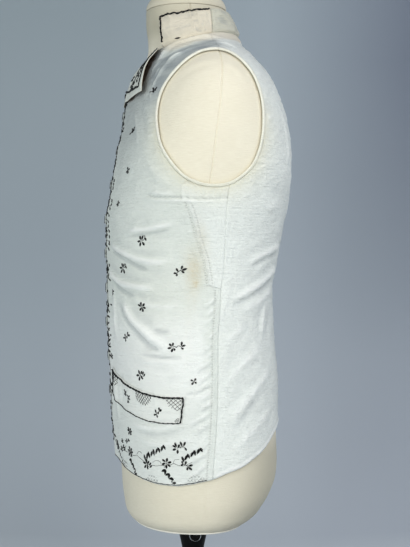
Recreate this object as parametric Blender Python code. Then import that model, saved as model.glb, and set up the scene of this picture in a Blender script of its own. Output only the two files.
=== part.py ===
"""An embroidered waistcoat, closed down the front, on a limbless dress form with a short stand.

The frame is +Z up. The waistcoat faces -Y and the wearer's left side is +X. The origin is the
centre of the underside of the stand's base.

All the sizes below are in millimetres. The objects are built in metres.
"""

import math

import bmesh
import bpy
import numpy as np

MM = 0.001

CLOTH = 1.6  # wall of the panels
SEAM_GAP = 0.4  # between two pieces along a seam
LAP = 2.6  # how far the left front rises where it lies over the right front
LAP_WIDTH = 11.0  # how far each front runs past the centre line
BINDING_RADIUS = 1.9
BINDING_OUT = 1.0  # centre of the rolled binding, outside the panels' inner face
FORM_INSET = 2.1  # the dress form, inside the panels' inner face
COLLAR_WALL = 2.2
COLLAR_OUT = 3.3
WELT_OUT = 2.5  # inner face of a pocket welt
REVERS_OUT = 2.4
REVERS_RISE = 8.0  # how much further the outer edge of a revers stands off
BUTTON_RADIUS = 7.0
BUTTON_THICK = 1.7
BUTTONS = 9
BUTTON_TOP = 727.0
BUTTON_STEP = 45.0
SHOULDER_SEAM = 93.0  # degrees

# Horizontal sections of the inner face of the garment, in mm: the height, how far the
# section reaches forward and back, where across the depth it is widest, its half width,
# and the powers of the front and back halves (2 is an ellipse, more is squarer).
SECTION_COLUMNS = ("z", "front", "back", "wide_at", "half_width", "front_power", "back_power")
SECTIONS = (
    (196, -58, 49, 0, 104, 2.2, 2.2),
    (199, -73, 62, 1, 119, 2.2, 2.2),
    (205, -83, 74.5, 2, 131, 2.25, 2.2),
    (214, -88.5, 86, 4, 139, 2.3, 2.2),
    (226, -91.5, 95, 6, 144, 2.3, 2.25),
    (241, -94.5, 102.5, 7, 147.5, 2.3, 2.3),
    (258, -96.5, 108.5, 7, 149.5, 2.3, 2.3),
    (280, -98.5, 110.5, 7, 151, 2.3, 2.3),
    (310, -102, 109.5, 7, 151, 2.3, 2.3),
    (345, -104.5, 108.5, 6, 149, 2.3, 2.3),
    (380, -105.5, 109, 5, 146, 2.3, 2.3),
    (410, -107, 107, 4, 143, 2.25, 2.25),
    (445, -109.5, 103.5, 3, 139, 2.2, 2.2),
    (480, -110, 101.8, 3, 136, 2.2, 2.2),
    (505, -110, 101.5, 3, 135, 2.2, 2.2),
    (530, -110.5, 107, 4, 136.5, 2.2, 2.2),
    (560, -111.5, 112.6, 5, 141, 2.2, 2.25),
    (590, -111.3, 117, 7, 149, 2.2, 2.35),
    (620, -106.5, 121.2, 9, 158.5, 2.2, 2.4),
    (650, -102, 124.5, 12, 166, 2.2, 2.45),
    (680, -96.3, 124, 14, 171.5, 2.2, 2.45),
    (705, -91, 120.5, 16, 174.5, 2.15, 2.4),
    (730, -87.3, 114.5, 18, 175, 2.05, 2.35),
    (750, -83.5, 107, 19, 172.5, 1.95, 2.3),
    (765, -79.5, 99.5, 20, 167.5, 1.88, 2.2),
    (776, -75.5, 93, 20, 160.5, 1.82, 2.1),
    (785, -71, 87.5, 19.5, 151.5, 1.78, 2.05),
    (792, -67.5, 82.5, 19, 141, 1.74, 2.0),
    (799, -65, 77, 18, 127.5, 1.7, 2.0),
    (807, -63, 70.5, 16, 110, 1.7, 2.0),
    (815, -61.5, 64.5, 13, 91.5, 1.72, 2.0),
    (822, -61.5, 62.5, 10, 77.5, 1.76, 2.0),
    (829, -62, 59.5, 6, 67.5, 1.82, 2.0),
    (837, -62.3, 55, 2, 61, 1.92, 2.0),
    (847, -62.4, 49, -3, 56, 2.0, 2.0),
    (857, -62.4, 45, -8, 53.6, 2.0, 2.0),
    (868, -62.4, 44, -9.2, 53.2, 2.0, 2.0),
)


def section_column(name):
    return np.array([row[SECTION_COLUMNS.index(name)] for row in SECTIONS], float)


def slopes(x, y):
    """Slopes of a curve through the points that never overshoots between two of them."""
    h = np.diff(x)
    d = np.diff(y) / h
    m = np.zeros(len(x))
    m[0], m[-1] = d[0], d[-1]
    for i in range(1, len(x) - 1):
        if d[i - 1] * d[i] > 0:
            w1, w2 = 2 * h[i] + h[i - 1], h[i] + 2 * h[i - 1]
            m[i] = (w1 + w2) / (w1 / d[i - 1] + w2 / d[i])
    return m


def smooth(x, y, at):
    x, y, at = np.asarray(x, float), np.asarray(y, float), np.asarray(at, float)
    m = slopes(x, y)
    i = np.clip(np.searchsorted(x, at, side="right") - 1, 0, len(x) - 2)
    h = x[i + 1] - x[i]
    t = np.clip((at - x[i]) / h, 0, 1)
    return (
        (1 + 2 * t) * (1 - t) ** 2 * y[i]
        + t * (1 - t) ** 2 * h * m[i]
        + t * t * (3 - 2 * t) * y[i + 1]
        + t * t * (t - 1) * h * m[i + 1]
    )


HEIGHTS = section_column("z")
COLUMNS = {name: section_column(name) for name in SECTION_COLUMNS[1:]}


def at_height(name, z):
    return smooth(HEIGHTS, COLUMNS[name], z)


def torso(angle, z):
    """The point of the torso at an angle in degrees (0 centre front, 90 the left side, 180 centre back) and a height in mm."""
    angle, z = np.broadcast_arrays(np.asarray(angle, float), np.asarray(z, float))
    a = np.radians(angle)
    c, s = np.cos(a), np.sin(a)
    front = c >= 0
    power = np.where(front, at_height("front_power", z), at_height("back_power", z))
    reach = np.where(front, at_height("front", z), at_height("back", z))
    mid = at_height("wide_at", z)
    x = at_height("half_width", z) * np.sign(s) * np.abs(s) ** (2 / power)
    y = mid + (reach - mid) * np.abs(c) ** (2 / power)
    return np.stack([x, y, z], axis=-1)


def outward(angle, z):
    da, dz = 0.4, 0.4
    along = torso(np.asarray(angle) + da, z) - torso(np.asarray(angle) - da, z)
    up = torso(angle, np.asarray(z) + dz) - torso(angle, np.asarray(z) - dz)
    n = np.cross(along, up)
    return n / np.linalg.norm(n, axis=-1, keepdims=True)


def place(angle, z, out=0.0):
    """A point at a distance in mm outside the torso."""
    return torso(angle, z) + outward(angle, z) * np.asarray(out, float)[..., None]


def angle_at_y(y, z):
    """The angle on the left side where the section at this height passes this depth."""
    y, z = np.broadcast_arrays(np.asarray(y, float), np.asarray(z, float))
    mid = at_height("wide_at", z)
    front = y < mid
    reach = np.where(front, at_height("front", z), at_height("back", z))
    power = np.where(front, at_height("front_power", z), at_height("back_power", z))
    c = np.clip((y - mid) / (reach - mid), 0, 1) ** (power / 2)
    return np.degrees(np.where(front, np.arccos(c), math.pi - np.arccos(c)))


def angle_at_x(x, z, back=False):
    x, z = np.broadcast_arrays(np.asarray(x, float), np.asarray(z, float))
    power = at_height("back_power" if back else "front_power", z)
    s = np.clip(np.abs(x) / at_height("half_width", z), 0, 1) ** (power / 2)
    a = np.degrees(np.arcsin(s)) * np.sign(x)
    return 180 - a if back else a


# The edges of the left half. Heights and depths are in mm, angles in degrees.
ARMHOLE_COLUMNS = ("y", "z")
ARMHOLE = (
    (18.8, 792.5),
    (2.4, 791.2),
    (-11.0, 785.5),
    (-25.0, 774.8),
    (-39.6, 758.8),
    (-50.0, 740.5),
    (-55.2, 717.4),
    (-55.0, 696.4),
    (-50.6, 674.0),
    (-39.0, 653.0),
    (-24.1, 637.0),
    (-5.5, 628.2),
    (13.5, 625.9),
    (31.5, 629.2),
    (46.0, 638.6),
    (58.2, 651.3),
    (66.4, 670.0),
    (70.6, 693.8),
    (70.6, 719.3),
    (66.6, 741.0),
    (59.0, 760.0),
    (47.2, 776.0),
    (33.5, 787.2),
)
ARMHOLE_FRONT_CORNER = 10.3  # rows of the table, where the insert's front seam meets the armhole
ARMHOLE_SIDE_SEAM = 12.85
FRONT_STEPS = 16
INSERT_STEPS = 5
BACK_STEPS = 16

SIDE_SEAM_COLUMNS = ("z", "y")
SIDE_SEAM = (
    (270.0, 10.3),
    (300.0, 12.6),
    (337.0, 15.6),
    (397.0, 17.7),
    (434.0, 18.1),
    (481.0, 21.4),
    (502.0, 22.5),
    (515.0, 24.3),
    (561.5, 26.7),
    (589.0, 27.0),
    (628.0, 29.6),
)

INSERT_FRONT_COLUMNS = ("z", "y")
INSERT_FRONT = (
    (505.6, 7.6),
    (531.8, 3.3),
    (556.0, -4.0),
    (568.0, -8.0),
    (580.0, -11.0),
    (592.5, -14.9),
    (604.5, -19.8),
    (611.7, -27.0),
    (636.0, -28.0),
)

HEM_COLUMNS = ("angle", "z")
HEM = (
    (-8.0, 291.0),
    (0.0, 285.5),
    (10.0, 280.5),
    (20.0, 276.0),
    (30.0, 271.2),
    (40.0, 268.0),
    (50.0, 265.2),
    (60.0, 263.4),
    (70.0, 263.2),
    (80.0, 266.0),
    (90.0, 270.8),
    (98.0, 277.8),
    (108.0, 284.0),
    (118.0, 292.8),
    (128.0, 301.8),
    (138.0, 312.0),
    (148.0, 320.8),
    (162.0, 328.4),
    (180.0, 331.5),
)

# The roll of the V neck, from the centre front up to the front end of the collar.
ROLL_COLUMNS = ("z", "x")
ROLL = (
    (742.0, -LAP_WIDTH),
    (752.0, -1.0),
    (764.0, 9.5),
    (776.0, 20.5),
    (788.0, 32.0),
    (799.0, 44.0),
    (808.6, 60.5),
)

# The seam between the panels and the collar, from the front end of the collar to centre back.
NECK_COLUMNS = ("angle", "z")
NECK = (
    (38.5, 808.6),
    (55.5, 813.2),
    (69.5, 818.4),
    (81.0, 821.0),
    (94.5, 823.6),
    (114.5, 827.6),
    (146.0, 831.4),
    (163.0, 832.6),
    (180.0, 833.0),
)

# The top edge of the collar over those rows.
COLLAR_TOP_COLUMNS = ("x", "y", "z")
COLLAR_TOP = (
    (46.0, -47.5, 852.6),
    (57.0, -28.0, 854.8),
    (61.5, -11.0, 856.6),
    (63.5, 1.0, 857.8),
    (64.0, 12.0, 858.9),
    (61.5, 26.0, 859.6),
    (42.5, 41.5, 858.6),
    (23.5, 48.0, 856.8),
    (0.0, 51.0, 855.8),
)
COLLAR_SEAM = 4.35  # rows of the two tables, where the front and back parts meet

WELT_COLUMNS = ("angle", "top", "bottom")
WELT = (
    (12.0, 399.4, 364.2),
    (21.8, 391.5, 355.2),
    (32.2, 384.6, 348.6),
    (41.0, 379.9, 344.0),
    (49.0, 376.2, 340.4),
    (57.3, 373.2, 338.0),
    (66.1, 371.4, 337.1),
    (76.9, 371.3, 338.0),
)

# The revers from the collar down to its lower edge: the height at the roll, and the outer edge.
REVERS_COLUMNS = ("roll_z", "outer_angle", "outer_z")
REVERS = (
    (806.0, 37.6, 803.0),
    (799.5, 36.0, 797.5),
    (792.0, 34.6, 791.0),
    (784.0, 34.0, 783.5),
    (776.0, 34.0, 774.5),
    (768.5, 34.8, 765.5),
    (761.5, 36.2, 757.0),
    (754.5, 38.0, 749.5),
)
REVERS_POINT_DROP = 3.0  # how far the lower edge hangs below the last row at its middle

# Turned pieces, as columns of radius and height.
CAP = ((52.9, 868.5), (53.2, 871.5), (51.4, 877.0), (47.4, 882.5), (39.0, 888.0), (26.0, 891.5), (12.0, 893.0))
SOCKET = ((12.5, 141.0), (13.6, 146.0), (14.7, 157.0), (18.3, 173.5), (19.6, 180.0), (24.5, 187.5), (25.5, 190.0), (25.5, 195.5))
FOOT = (  # the round base and the pole that stands in it
    (147.0, 0.0),
    (150.0, 2.0),
    (150.0, 7.5),
    (148.0, 10.5),
    (143.0, 12.2),
    (60.0, 14.0),
    (21.0, 15.5),
    (14.0, 18.0),
    (11.0, 22.5),
    (11.0, 140.6),
)
KNOB = ((3.5, 0.0), (3.5, 5.0), (7.4, 5.6), (8.0, 7.0), (8.0, 12.5), (7.0, 13.6))
KNOB_FROM = 21.8  # from the stand's axis
KNOB_HEIGHT = 178.0
SIDES_LARGE, SIDES_SMALL = 48, 20

COLOURS = {
    "cloth": (0.80, 0.82, 0.81),
    "embroidered_cloth": (0.78, 0.78, 0.76),
    "form_cover": (0.86, 0.80, 0.66),
    "black_plastic": (0.02, 0.02, 0.022),
    "chrome": (0.75, 0.75, 0.76),
}
FINISH = {  # roughness, metallic
    "cloth": (0.9, 0.0),
    "embroidered_cloth": (0.9, 0.0),
    "form_cover": (0.85, 0.0),
    "black_plastic": (0.4, 0.0),
    "chrome": (0.12, 1.0),
}


def table(rows, columns, name):
    return np.array([row[columns.index(name)] for row in rows], float)


def along(values, at):
    """A column of a table read at a fractional row."""
    return smooth(np.arange(len(values)), values, at)


# ---------------------------------------------------------------- edges


def armhole(at):
    """Depth and height of the armhole's binding at fractional rows of the closed table."""
    y = table(ARMHOLE, ARMHOLE_COLUMNS, "y")
    z = table(ARMHOLE, ARMHOLE_COLUMNS, "z")
    count = len(y)
    at = np.asarray(at, float) % count
    i = np.floor(at).astype(int)
    t = at - i

    def curve(v):
        a, b, c, d = v[(i - 1) % count], v[i % count], v[(i + 1) % count], v[(i + 2) % count]
        return b + 0.5 * t * (c - a + t * (2 * a - 5 * b + 4 * c - d + t * (3 * (b - c) + d - a)))

    return curve(y), curve(z)


def armhole_frame(at):
    """Points on the binding's line, with the torso's normal and the direction away from the armhole."""
    y, z = armhole(at)
    middle = place(angle_at_y(y, z), z, np.full(np.shape(y), BINDING_OUT))
    ya, za = armhole(np.asarray(at) + 0.05)
    yb, zb = armhole(np.asarray(at) - 0.05)
    tangent = torso(angle_at_y(ya, za), za) - torso(angle_at_y(yb, zb), zb)
    tangent /= np.linalg.norm(tangent, axis=-1, keepdims=True)
    normal = outward(angle_at_y(y, z), z)
    away = np.cross(normal, tangent)
    away /= np.linalg.norm(away, axis=-1, keepdims=True)
    centre = np.array([150.0, 8.0, 710.0])
    sign = np.sign(np.sum(away * (middle - centre), axis=-1, keepdims=True))
    return middle, normal, away * sign


def armhole_edge(at, off=BINDING_RADIUS + SEAM_GAP):
    """The edge of the panels round the armhole, as angle and height."""
    middle, normal, away = armhole_frame(at)
    point = middle - normal * BINDING_OUT + away * off
    y, z = point[..., 1], point[..., 2]
    return np.stack([angle_at_y(y, z), z], axis=-1)


def side_seam(z, shift=0.0):
    y = smooth(table(SIDE_SEAM, SIDE_SEAM_COLUMNS, "z"), table(SIDE_SEAM, SIDE_SEAM_COLUMNS, "y"), z) + shift
    return np.stack([angle_at_y(y, z), np.asarray(z, float)], axis=-1)


def insert_front(z, shift=0.0):
    y = smooth(table(INSERT_FRONT, INSERT_FRONT_COLUMNS, "z"), table(INSERT_FRONT, INSERT_FRONT_COLUMNS, "y"), z) + shift
    return np.stack([angle_at_y(y, z), np.asarray(z, float)], axis=-1)


def hem_height(angle):
    return smooth(table(HEM, HEM_COLUMNS, "angle"), table(HEM, HEM_COLUMNS, "z"), angle)


def front_edge(z):
    """The centre-front edge, a little past the centre line."""
    z = np.asarray(z, float)
    return np.stack([angle_at_x(np.full(z.shape, -LAP_WIDTH), z), z], axis=-1)


def roll(z):
    x = smooth(table(ROLL, ROLL_COLUMNS, "z"), table(ROLL, ROLL_COLUMNS, "x"), z)
    return np.stack([angle_at_x(x, z), np.asarray(z, float)], axis=-1)


def neck(at):
    return np.stack([along(table(NECK, NECK_COLUMNS, "angle"), at), along(table(NECK, NECK_COLUMNS, "z"), at)], axis=-1)


def neck_row(angle):
    """The fractional row of the neck table at an angle."""
    rows = np.linspace(0, len(NECK) - 1, 801)
    return float(np.interp(angle, neck(rows)[:, 0], rows))


def lap(angle, z):
    """How far the left front is lifted over the right front."""
    x = torso(angle, z)[..., 0]
    t = np.clip((44.0 - x) / 28.0, 0, 1)
    return LAP * t * t * (3 - 2 * t)


# ---------------------------------------------------------------- grids


def patch(bottom, top, left, right):
    """A grid through four edges, each an array of points. Rows run from bottom to top, columns from left to right."""
    rows, columns = len(left), len(bottom)
    v = np.linspace(0, 1, rows)[:, None, None]
    u = np.linspace(0, 1, columns)[None, :, None]
    corners = (
        (1 - u) * (1 - v) * bottom[0]
        + u * (1 - v) * bottom[-1]
        + (1 - u) * v * top[0]
        + u * v * top[-1]
    )
    return (
        (1 - v) * bottom[None]
        + v * top[None]
        + (1 - u) * left[:, None]
        + u * right[:, None]
        - corners
    )


def steps(keys, counts):
    """Values that run through the keys with so many steps between each two."""
    values = [np.linspace(a, b, n + 1)[:-1] for a, b, n in zip(keys, keys[1:], counts)]
    return np.append(np.concatenate(values), keys[-1])


def new_material(name, kind):
    material = bpy.data.materials.new(name)
    material.use_nodes = True
    shader = material.node_tree.nodes["Principled BSDF"]
    roughness, metallic = FINISH[kind]
    shader.inputs["Base Color"].default_value = (*COLOURS[kind], 1)
    shader.inputs["Roughness"].default_value = roughness
    shader.inputs["Metallic"].default_value = metallic
    material.diffuse_color = (*COLOURS[kind], 1)
    return material


def new_object(name, points, faces, kind):
    mesh = bpy.data.meshes.new(name)
    mesh.from_pydata([tuple(p) for p in np.asarray(points) * MM], [], [tuple(int(i) for i in f) for f in faces])
    body = bmesh.new()
    body.from_mesh(mesh)
    bmesh.ops.recalc_face_normals(body, faces=body.faces)
    body.to_mesh(mesh)
    body.free()
    mesh.shade_smooth()
    mesh.set_sharp_from_angle(angle=math.radians(40))
    mesh.materials.append(new_material(name, kind))
    obj = bpy.data.objects.new(name, mesh)
    bpy.context.scene.collection.objects.link(obj)
    return obj


def wall(name, inner, outer, kind):
    """A closed wall between two grids of points."""
    rows, columns = inner.shape[:2]
    points = np.concatenate([inner.reshape(-1, 3), outer.reshape(-1, 3)])
    far = rows * columns
    faces = []
    for r in range(rows - 1):
        for c in range(columns - 1):
            a, b = r * columns + c, r * columns + c + 1
            d, e = a + columns, b + columns
            faces.append((a, d, e, b))
            faces.append((far + a, far + b, far + e, far + d))
    rim = (
        [c for c in range(columns)]
        + [r * columns + columns - 1 for r in range(1, rows)]
        + [(rows - 1) * columns + c for c in range(columns - 2, -1, -1)]
        + [r * columns for r in range(rows - 2, 0, -1)]
    )
    for a, b in zip(rim, rim[1:] + rim[:1]):
        faces.append((a, b, far + b, far + a))
    return new_object(name, points, faces, kind)


def mirrored(points):
    return points * np.array([-1.0, 1.0, 1.0])


def tube(name, rings, kind):
    """A closed ring of cross-sections."""
    count, sides = rings.shape[:2]
    faces = []
    for i in range(count):
        j = (i + 1) % count
        for k in range(sides):
            m = (k + 1) % sides
            faces.append((i * sides + k, j * sides + k, j * sides + m, i * sides + m))
    return new_object(name, rings.reshape(-1, 3), faces, kind)


def turned(name, profile, kind, sides, at=(0.0, 0.0), axis="Z"):
    """A solid of revolution with flat ends, from its radii and heights."""
    turn = np.linspace(0, 2 * math.pi, sides, endpoint=False)
    rings = []
    for radius, height in profile:
        ring = np.stack([radius * np.cos(turn), radius * np.sin(turn), np.full(sides, height)], axis=-1)
        if axis == "X":
            ring = ring[:, [2, 0, 1]]
        rings.append(ring)
    points = np.concatenate(rings)
    if axis == "Z":
        points = points + np.array([at[0], at[1], 0.0])
    else:
        points = points + np.array([at[0], 0.0, at[1]])
    faces = [tuple(range(sides)), tuple((len(rings) - 1) * sides + k for k in range(sides))]
    for i in range(len(rings) - 1):
        for k in range(sides):
            m = (k + 1) % sides
            faces.append((i * sides + k, i * sides + m, (i + 1) * sides + m, (i + 1) * sides + k))
    return new_object(name, points, faces, kind)


# ---------------------------------------------------------------- panels

FRONT_TOP = 0.0  # fractional row of the armhole table at the shoulder seam
SHOULDER_GAP = SEAM_GAP / 2
SHOULDER_ROW = neck_row(SHOULDER_SEAM)


def shoulder(columns, side):
    """The shoulder seam from the neck to the armhole, moved to one side by half the gap."""
    a = neck(SHOULDER_ROW)[1] - 1.0
    top = armhole_edge(np.array([0.0]))[0]
    z = np.linspace(a, top[1], columns)
    turn = np.linspace(SHOULDER_SEAM, top[0], columns)
    y = torso(turn, z)[:, 1] + side * SHOULDER_GAP * 1.2
    return np.stack([angle_at_y(y, z), z], axis=-1)


def front_grid():
    columns = 13
    counts = (3, 8, 1, 6, 2, 6, 5, 5)
    right = np.concatenate(
        [
            side_seam(steps((hem_height(91.0), 336.0, 500.5), counts[:2]), -SHOULDER_GAP),
            insert_front(steps((505.0, 604.5, 628.0), counts[3:5]), -SHOULDER_GAP),
        ]
    )
    edge = armhole_edge(np.linspace(ARMHOLE_FRONT_CORNER, 0.0, FRONT_STEPS + 1))
    right[-1] = edge[0]
    right = np.concatenate([right, edge[1:]])
    corner = hem_height(angle_at_x(-LAP_WIDTH, 290.0))
    low = front_edge(steps((float(corner), 336.0, 496.0, 510.0, 590.0, 618.0, 742.0), counts[:6]))
    neck_top = neck(np.linspace(0, SHOULDER_ROW, counts[7] + 1)) - np.array([0, 1.0])
    left = np.concatenate([low, roll(steps((742.0, 807.4), counts[6:7]))[1:], neck_top[1:]])
    turn = np.linspace(left[0, 0], right[0, 0], columns)
    bottom = np.stack([turn, hem_height(turn)], axis=-1)
    bottom[0], bottom[-1] = left[0], right[0]
    top = shoulder(columns, -1)
    left[-1] = top[0]
    right[-1] = top[-1]
    return patch(bottom, top, left, right)


def back_grid():
    columns = 9
    counts = (8, 5, 9, 7)
    right = side_seam(steps((float(hem_height(91.0)), 500.5, 625.0), counts[:2]), SHOULDER_GAP)
    edge = armhole_edge(np.linspace(ARMHOLE_SIDE_SEAM, len(ARMHOLE), BACK_STEPS + 1))
    right[-1] = edge[0]
    right = np.concatenate([right, edge[1:]])
    z = steps((float(hem_height(180.0)), 505.0, 628.0, 832.0), counts[:3])
    low = np.stack([angle_at_x(np.full(z.shape, SEAM_GAP / 2), z, back=True), z], axis=-1)
    neck_top = neck(np.linspace(len(NECK) - 1, SHOULDER_ROW, counts[3] + 1)) - np.array([0, 1.0])
    left = np.concatenate([low, neck_top[1:]])
    turn = np.linspace(left[0, 0], right[0, 0], columns)
    bottom = np.stack([turn, hem_height(turn)], axis=-1)
    bottom[0], bottom[-1] = left[0], right[0]
    top = shoulder(columns, 1)
    left[-1] = top[0]
    right[-1] = top[-1]
    return patch(bottom, top, left, right)


def insert_grid():
    z = steps((505.0, 604.5, 628.0), (6, 2))
    left = insert_front(z + 0.8, SHOULDER_GAP + 0.3)
    top = armhole_edge(np.linspace(ARMHOLE_FRONT_CORNER, ARMHOLE_SIDE_SEAM, INSERT_STEPS + 1))
    right = side_seam(np.linspace(502.6, 625.0, len(z)), -SHOULDER_GAP)
    top[0] = np.stack([angle_at_y(place(*top[0])[1] + SEAM_GAP, top[0, 1]), top[0, 1]])
    top[-1] = np.stack([angle_at_y(place(*top[-1])[1] - SEAM_GAP, top[-1, 1]), top[-1, 1]])
    left[-1], right[-1] = top[0], top[-1]
    bottom = np.linspace(left[0], right[0], INSERT_STEPS + 1)
    return patch(bottom, top, left, right)


def panel(name, grid, kind, inner=0.0, lift=None):
    angle, z = grid[..., 0], grid[..., 1]
    extra = lift(angle, z) if lift else 0.0
    low = place(angle, z, np.full(angle.shape, inner) + extra)
    high = place(angle, z, np.full(angle.shape, inner + CLOTH) + extra)
    return low, high


def both_sides(name, low, high, kind):
    wall(f"{name}_left", low, high, kind)
    wall(f"{name}_right", mirrored(low), mirrored(high), kind)


def collar_point(at, height):
    """A point of the collar's middle surface: row of the tables, and 0 at the neck seam to 1 at the top edge."""
    at, height = np.broadcast_arrays(np.asarray(at, float), np.asarray(height, float))
    low = neck(at)
    base = place(low[..., 0], low[..., 1], np.full(at.shape, COLLAR_OUT))
    top = np.stack([along(table(COLLAR_TOP, COLLAR_TOP_COLUMNS, k), at) for k in "xyz"], axis=-1)
    bulge = np.sin(np.pi * height)[..., None] * 0.8
    side = top - np.array([0.0, -4.0, 0.0])
    side[..., 2] = 0
    side /= np.linalg.norm(side, axis=-1, keepdims=True)
    return base + (top - base) * height[..., None] + side * bulge


def collar_walls(at, height):
    du = (collar_point(np.minimum(at + 0.02, 8.0), height) - collar_point(np.maximum(at - 0.02, 0.0), height))
    dv = collar_point(at, height + 0.02) - collar_point(at, height - 0.02)
    normal = np.cross(du, dv)
    normal /= np.linalg.norm(normal, axis=-1, keepdims=True)
    middle = collar_point(at, height)
    return middle - normal * COLLAR_WALL / 2, middle + normal * COLLAR_WALL / 2


def welt_grid():
    rows, columns = 5, 14
    at = np.linspace(0, len(WELT) - 1, columns)
    turn = along(table(WELT, WELT_COLUMNS, "angle"), at)
    top = np.stack([turn, along(table(WELT, WELT_COLUMNS, "top"), at)], axis=-1)
    low = np.stack([turn, along(table(WELT, WELT_COLUMNS, "bottom"), at)], axis=-1)
    v = np.linspace(0, 1, rows)[:, None, None]
    return low[None] * (1 - v) + top[None] * v


def revers_grid():
    """Rows from the lower edge up to the collar, columns from the roll to the outer edge."""
    rows, columns = 9, 6
    at = np.linspace(len(REVERS) - 1, 0, rows)
    inner = roll(along(table(REVERS, REVERS_COLUMNS, "roll_z"), at))
    outer = np.stack([along(table(REVERS, REVERS_COLUMNS, k), at) for k in ("outer_angle", "outer_z")], axis=-1)
    u = np.linspace(0, 1, columns)[None, :, None]
    grid = inner[:, None] * (1 - u) + outer[:, None] * u
    drop = np.linspace(1, 0, rows)[:, None] ** 2 * np.sin(np.pi * u[..., 0])
    grid[..., 1] -= REVERS_POINT_DROP * drop
    return grid


def build_waistcoat():
    low, high = panel("front", front_grid(), "embroidered_cloth", lift=lap)
    wall("front_left", low, high, "embroidered_cloth")
    low, high = panel("front", front_grid(), "embroidered_cloth")
    wall("front_right", mirrored(low), mirrored(high), "embroidered_cloth")
    both_sides("back", *panel("back", back_grid(), "cloth"), "cloth")
    both_sides("underarm", *panel("underarm", insert_grid(), "cloth"), "cloth")

    # collar
    gap = 0.012
    at, height = np.meshgrid(np.linspace(0, COLLAR_SEAM - gap, 9), np.linspace(0, 1, 5), indexing="xy")
    both_sides("collar_front", *collar_walls(at, height), "embroidered_cloth")
    at, height = np.meshgrid(np.linspace(COLLAR_SEAM + gap, 8, 9), np.linspace(0, 1, 5), indexing="xy")
    low, high = collar_walls(at, height)
    join = lambda half: np.concatenate([half, mirrored(half)[:, -2::-1]], axis=1)
    wall("collar_back", join(low), join(high), "cloth")

    # revers, over the fronts
    grid = revers_grid()
    angle, z = grid[..., 0], grid[..., 1]
    u = np.linspace(0, 1, grid.shape[1])[None, :]
    v = np.linspace(0, 1, grid.shape[0])[:, None]
    rise = REVERS_OUT + REVERS_RISE * (1 - 0.6 * v**3) * u**1.3 + lap(angle, z)
    both_sides("revers", place(angle, z, rise), place(angle, z, rise + CLOTH), "embroidered_cloth")

    # pocket welts
    grid = welt_grid()
    lift = lambda angle, z: lap(angle, z)
    both_sides("welt", *panel("welt", grid, "embroidered_cloth", inner=WELT_OUT, lift=lift), "embroidered_cloth")

    # armhole bindings
    at = np.concatenate(
        [
            np.linspace(0, ARMHOLE_FRONT_CORNER, FRONT_STEPS + 1)[:-1],
            np.linspace(ARMHOLE_FRONT_CORNER, ARMHOLE_SIDE_SEAM, INSERT_STEPS + 1)[:-1],
            np.linspace(ARMHOLE_SIDE_SEAM, len(ARMHOLE), BACK_STEPS + 1)[:-1],
        ]
    )
    middle, normal, away = armhole_frame(at)
    turn = np.linspace(0, 2 * math.pi, 7)[:-1] + math.pi / 6
    rings = middle[:, None] + BINDING_RADIUS * (
        np.cos(turn)[None, :, None] * normal[:, None] + np.sin(turn)[None, :, None] * away[:, None]
    )
    tube("binding_left", rings, "cloth")
    tube("binding_right", mirrored(rings), "cloth")

    # buttons down the centre front
    profile = (
        (BUTTON_RADIUS - 0.7, 0.0),
        (BUTTON_RADIUS, 0.5),
        (BUTTON_RADIUS - 0.5, 1.2),
        (BUTTON_RADIUS - 2.6, BUTTON_THICK),
    )
    for i in range(BUTTONS):
        z = BUTTON_TOP - BUTTON_STEP * i
        out = CLOTH + LAP + 0.4
        seat = place(np.array(0.0), np.array(z), np.array(out))
        normal = outward(0.0, z)
        side = np.array([1.0, 0.0, 0.0])
        up = np.cross(normal, side)
        turn = np.linspace(0, 2 * math.pi, 13)[:-1]
        rings = np.concatenate(
            [
                seat + normal * h + r * (np.cos(turn)[:, None] * side + np.sin(turn)[:, None] * up)
                for r, h in profile
            ]
        )
        faces = [tuple(range(12)), tuple(36 + k for k in range(12))]
        for j in range(3):
            for k in range(12):
                m = (k + 1) % 12
                faces.append((j * 12 + k, j * 12 + m, (j + 1) * 12 + m, (j + 1) * 12 + k))
        new_object(f"button_{i + 1}", rings, faces, "embroidered_cloth")


def build_form():
    columns = 40
    z = np.array(
        [196, 198, 202, 208, 215, 224, 235, 248, 265, 290, 320, 355, 390, 425, 460, 490, 515, 540, 565, 590, 615,
         640, 665, 690, 712, 732, 750, 763, 773, 781, 788, 794, 800, 806, 812, 818, 824, 831, 840, 852, 868],
        float,
    )
    turn = np.linspace(0, 360, columns, endpoint=False)
    angle = np.where(turn > 180, turn - 360, turn)
    t = np.clip((z - 826) / 26, 0, 1)
    inset = -FORM_INSET * (1 - t * t * (3 - 2 * t))
    rings = []
    for height, out in zip(z, inset):
        level = np.array([1, 1, 0 if height < 219 else 1])
        clear = np.full(columns, np.clip(height, 199, 866))
        rings.append(torso(angle, np.full(columns, height)) + outward(angle, clear) * level * out)
    rings = np.array(rings)
    count = len(rings)
    faces = [tuple(range(columns)), tuple((count - 1) * columns + k for k in range(columns))]
    for i in range(count - 1):
        for k in range(columns):
            m = (k + 1) % columns
            faces.append((i * columns + k, i * columns + m, (i + 1) * columns + m, (i + 1) * columns + k))
    new_object("form_body", rings.reshape(-1, 3), faces, "form_cover")
    turned("form_cap", CAP, "form_cover", SIDES_LARGE, at=(0.0, -9.0))
    turned("stand_socket", SOCKET, "black_plastic", SIDES_SMALL)
    turned("stand_foot", FOOT, "black_plastic", SIDES_LARGE)
    turned("stand_knob", KNOB, "chrome", SIDES_SMALL, at=(KNOB_FROM, KNOB_HEIGHT), axis="X")


for old in list(bpy.data.objects):
    bpy.data.objects.remove(old, do_unlink=True)

build_waistcoat()
build_form()
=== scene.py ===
"""Looks of the embroidered waistcoat on its limbless dress form.

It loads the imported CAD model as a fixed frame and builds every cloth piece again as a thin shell
with its folds, seams, stitches and embroidery. All sizes are in millimetres until a mesh is made.
The frame is +Z up; the waistcoat faces -Y and the wearer's left side is +X.
"""

import math

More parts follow.
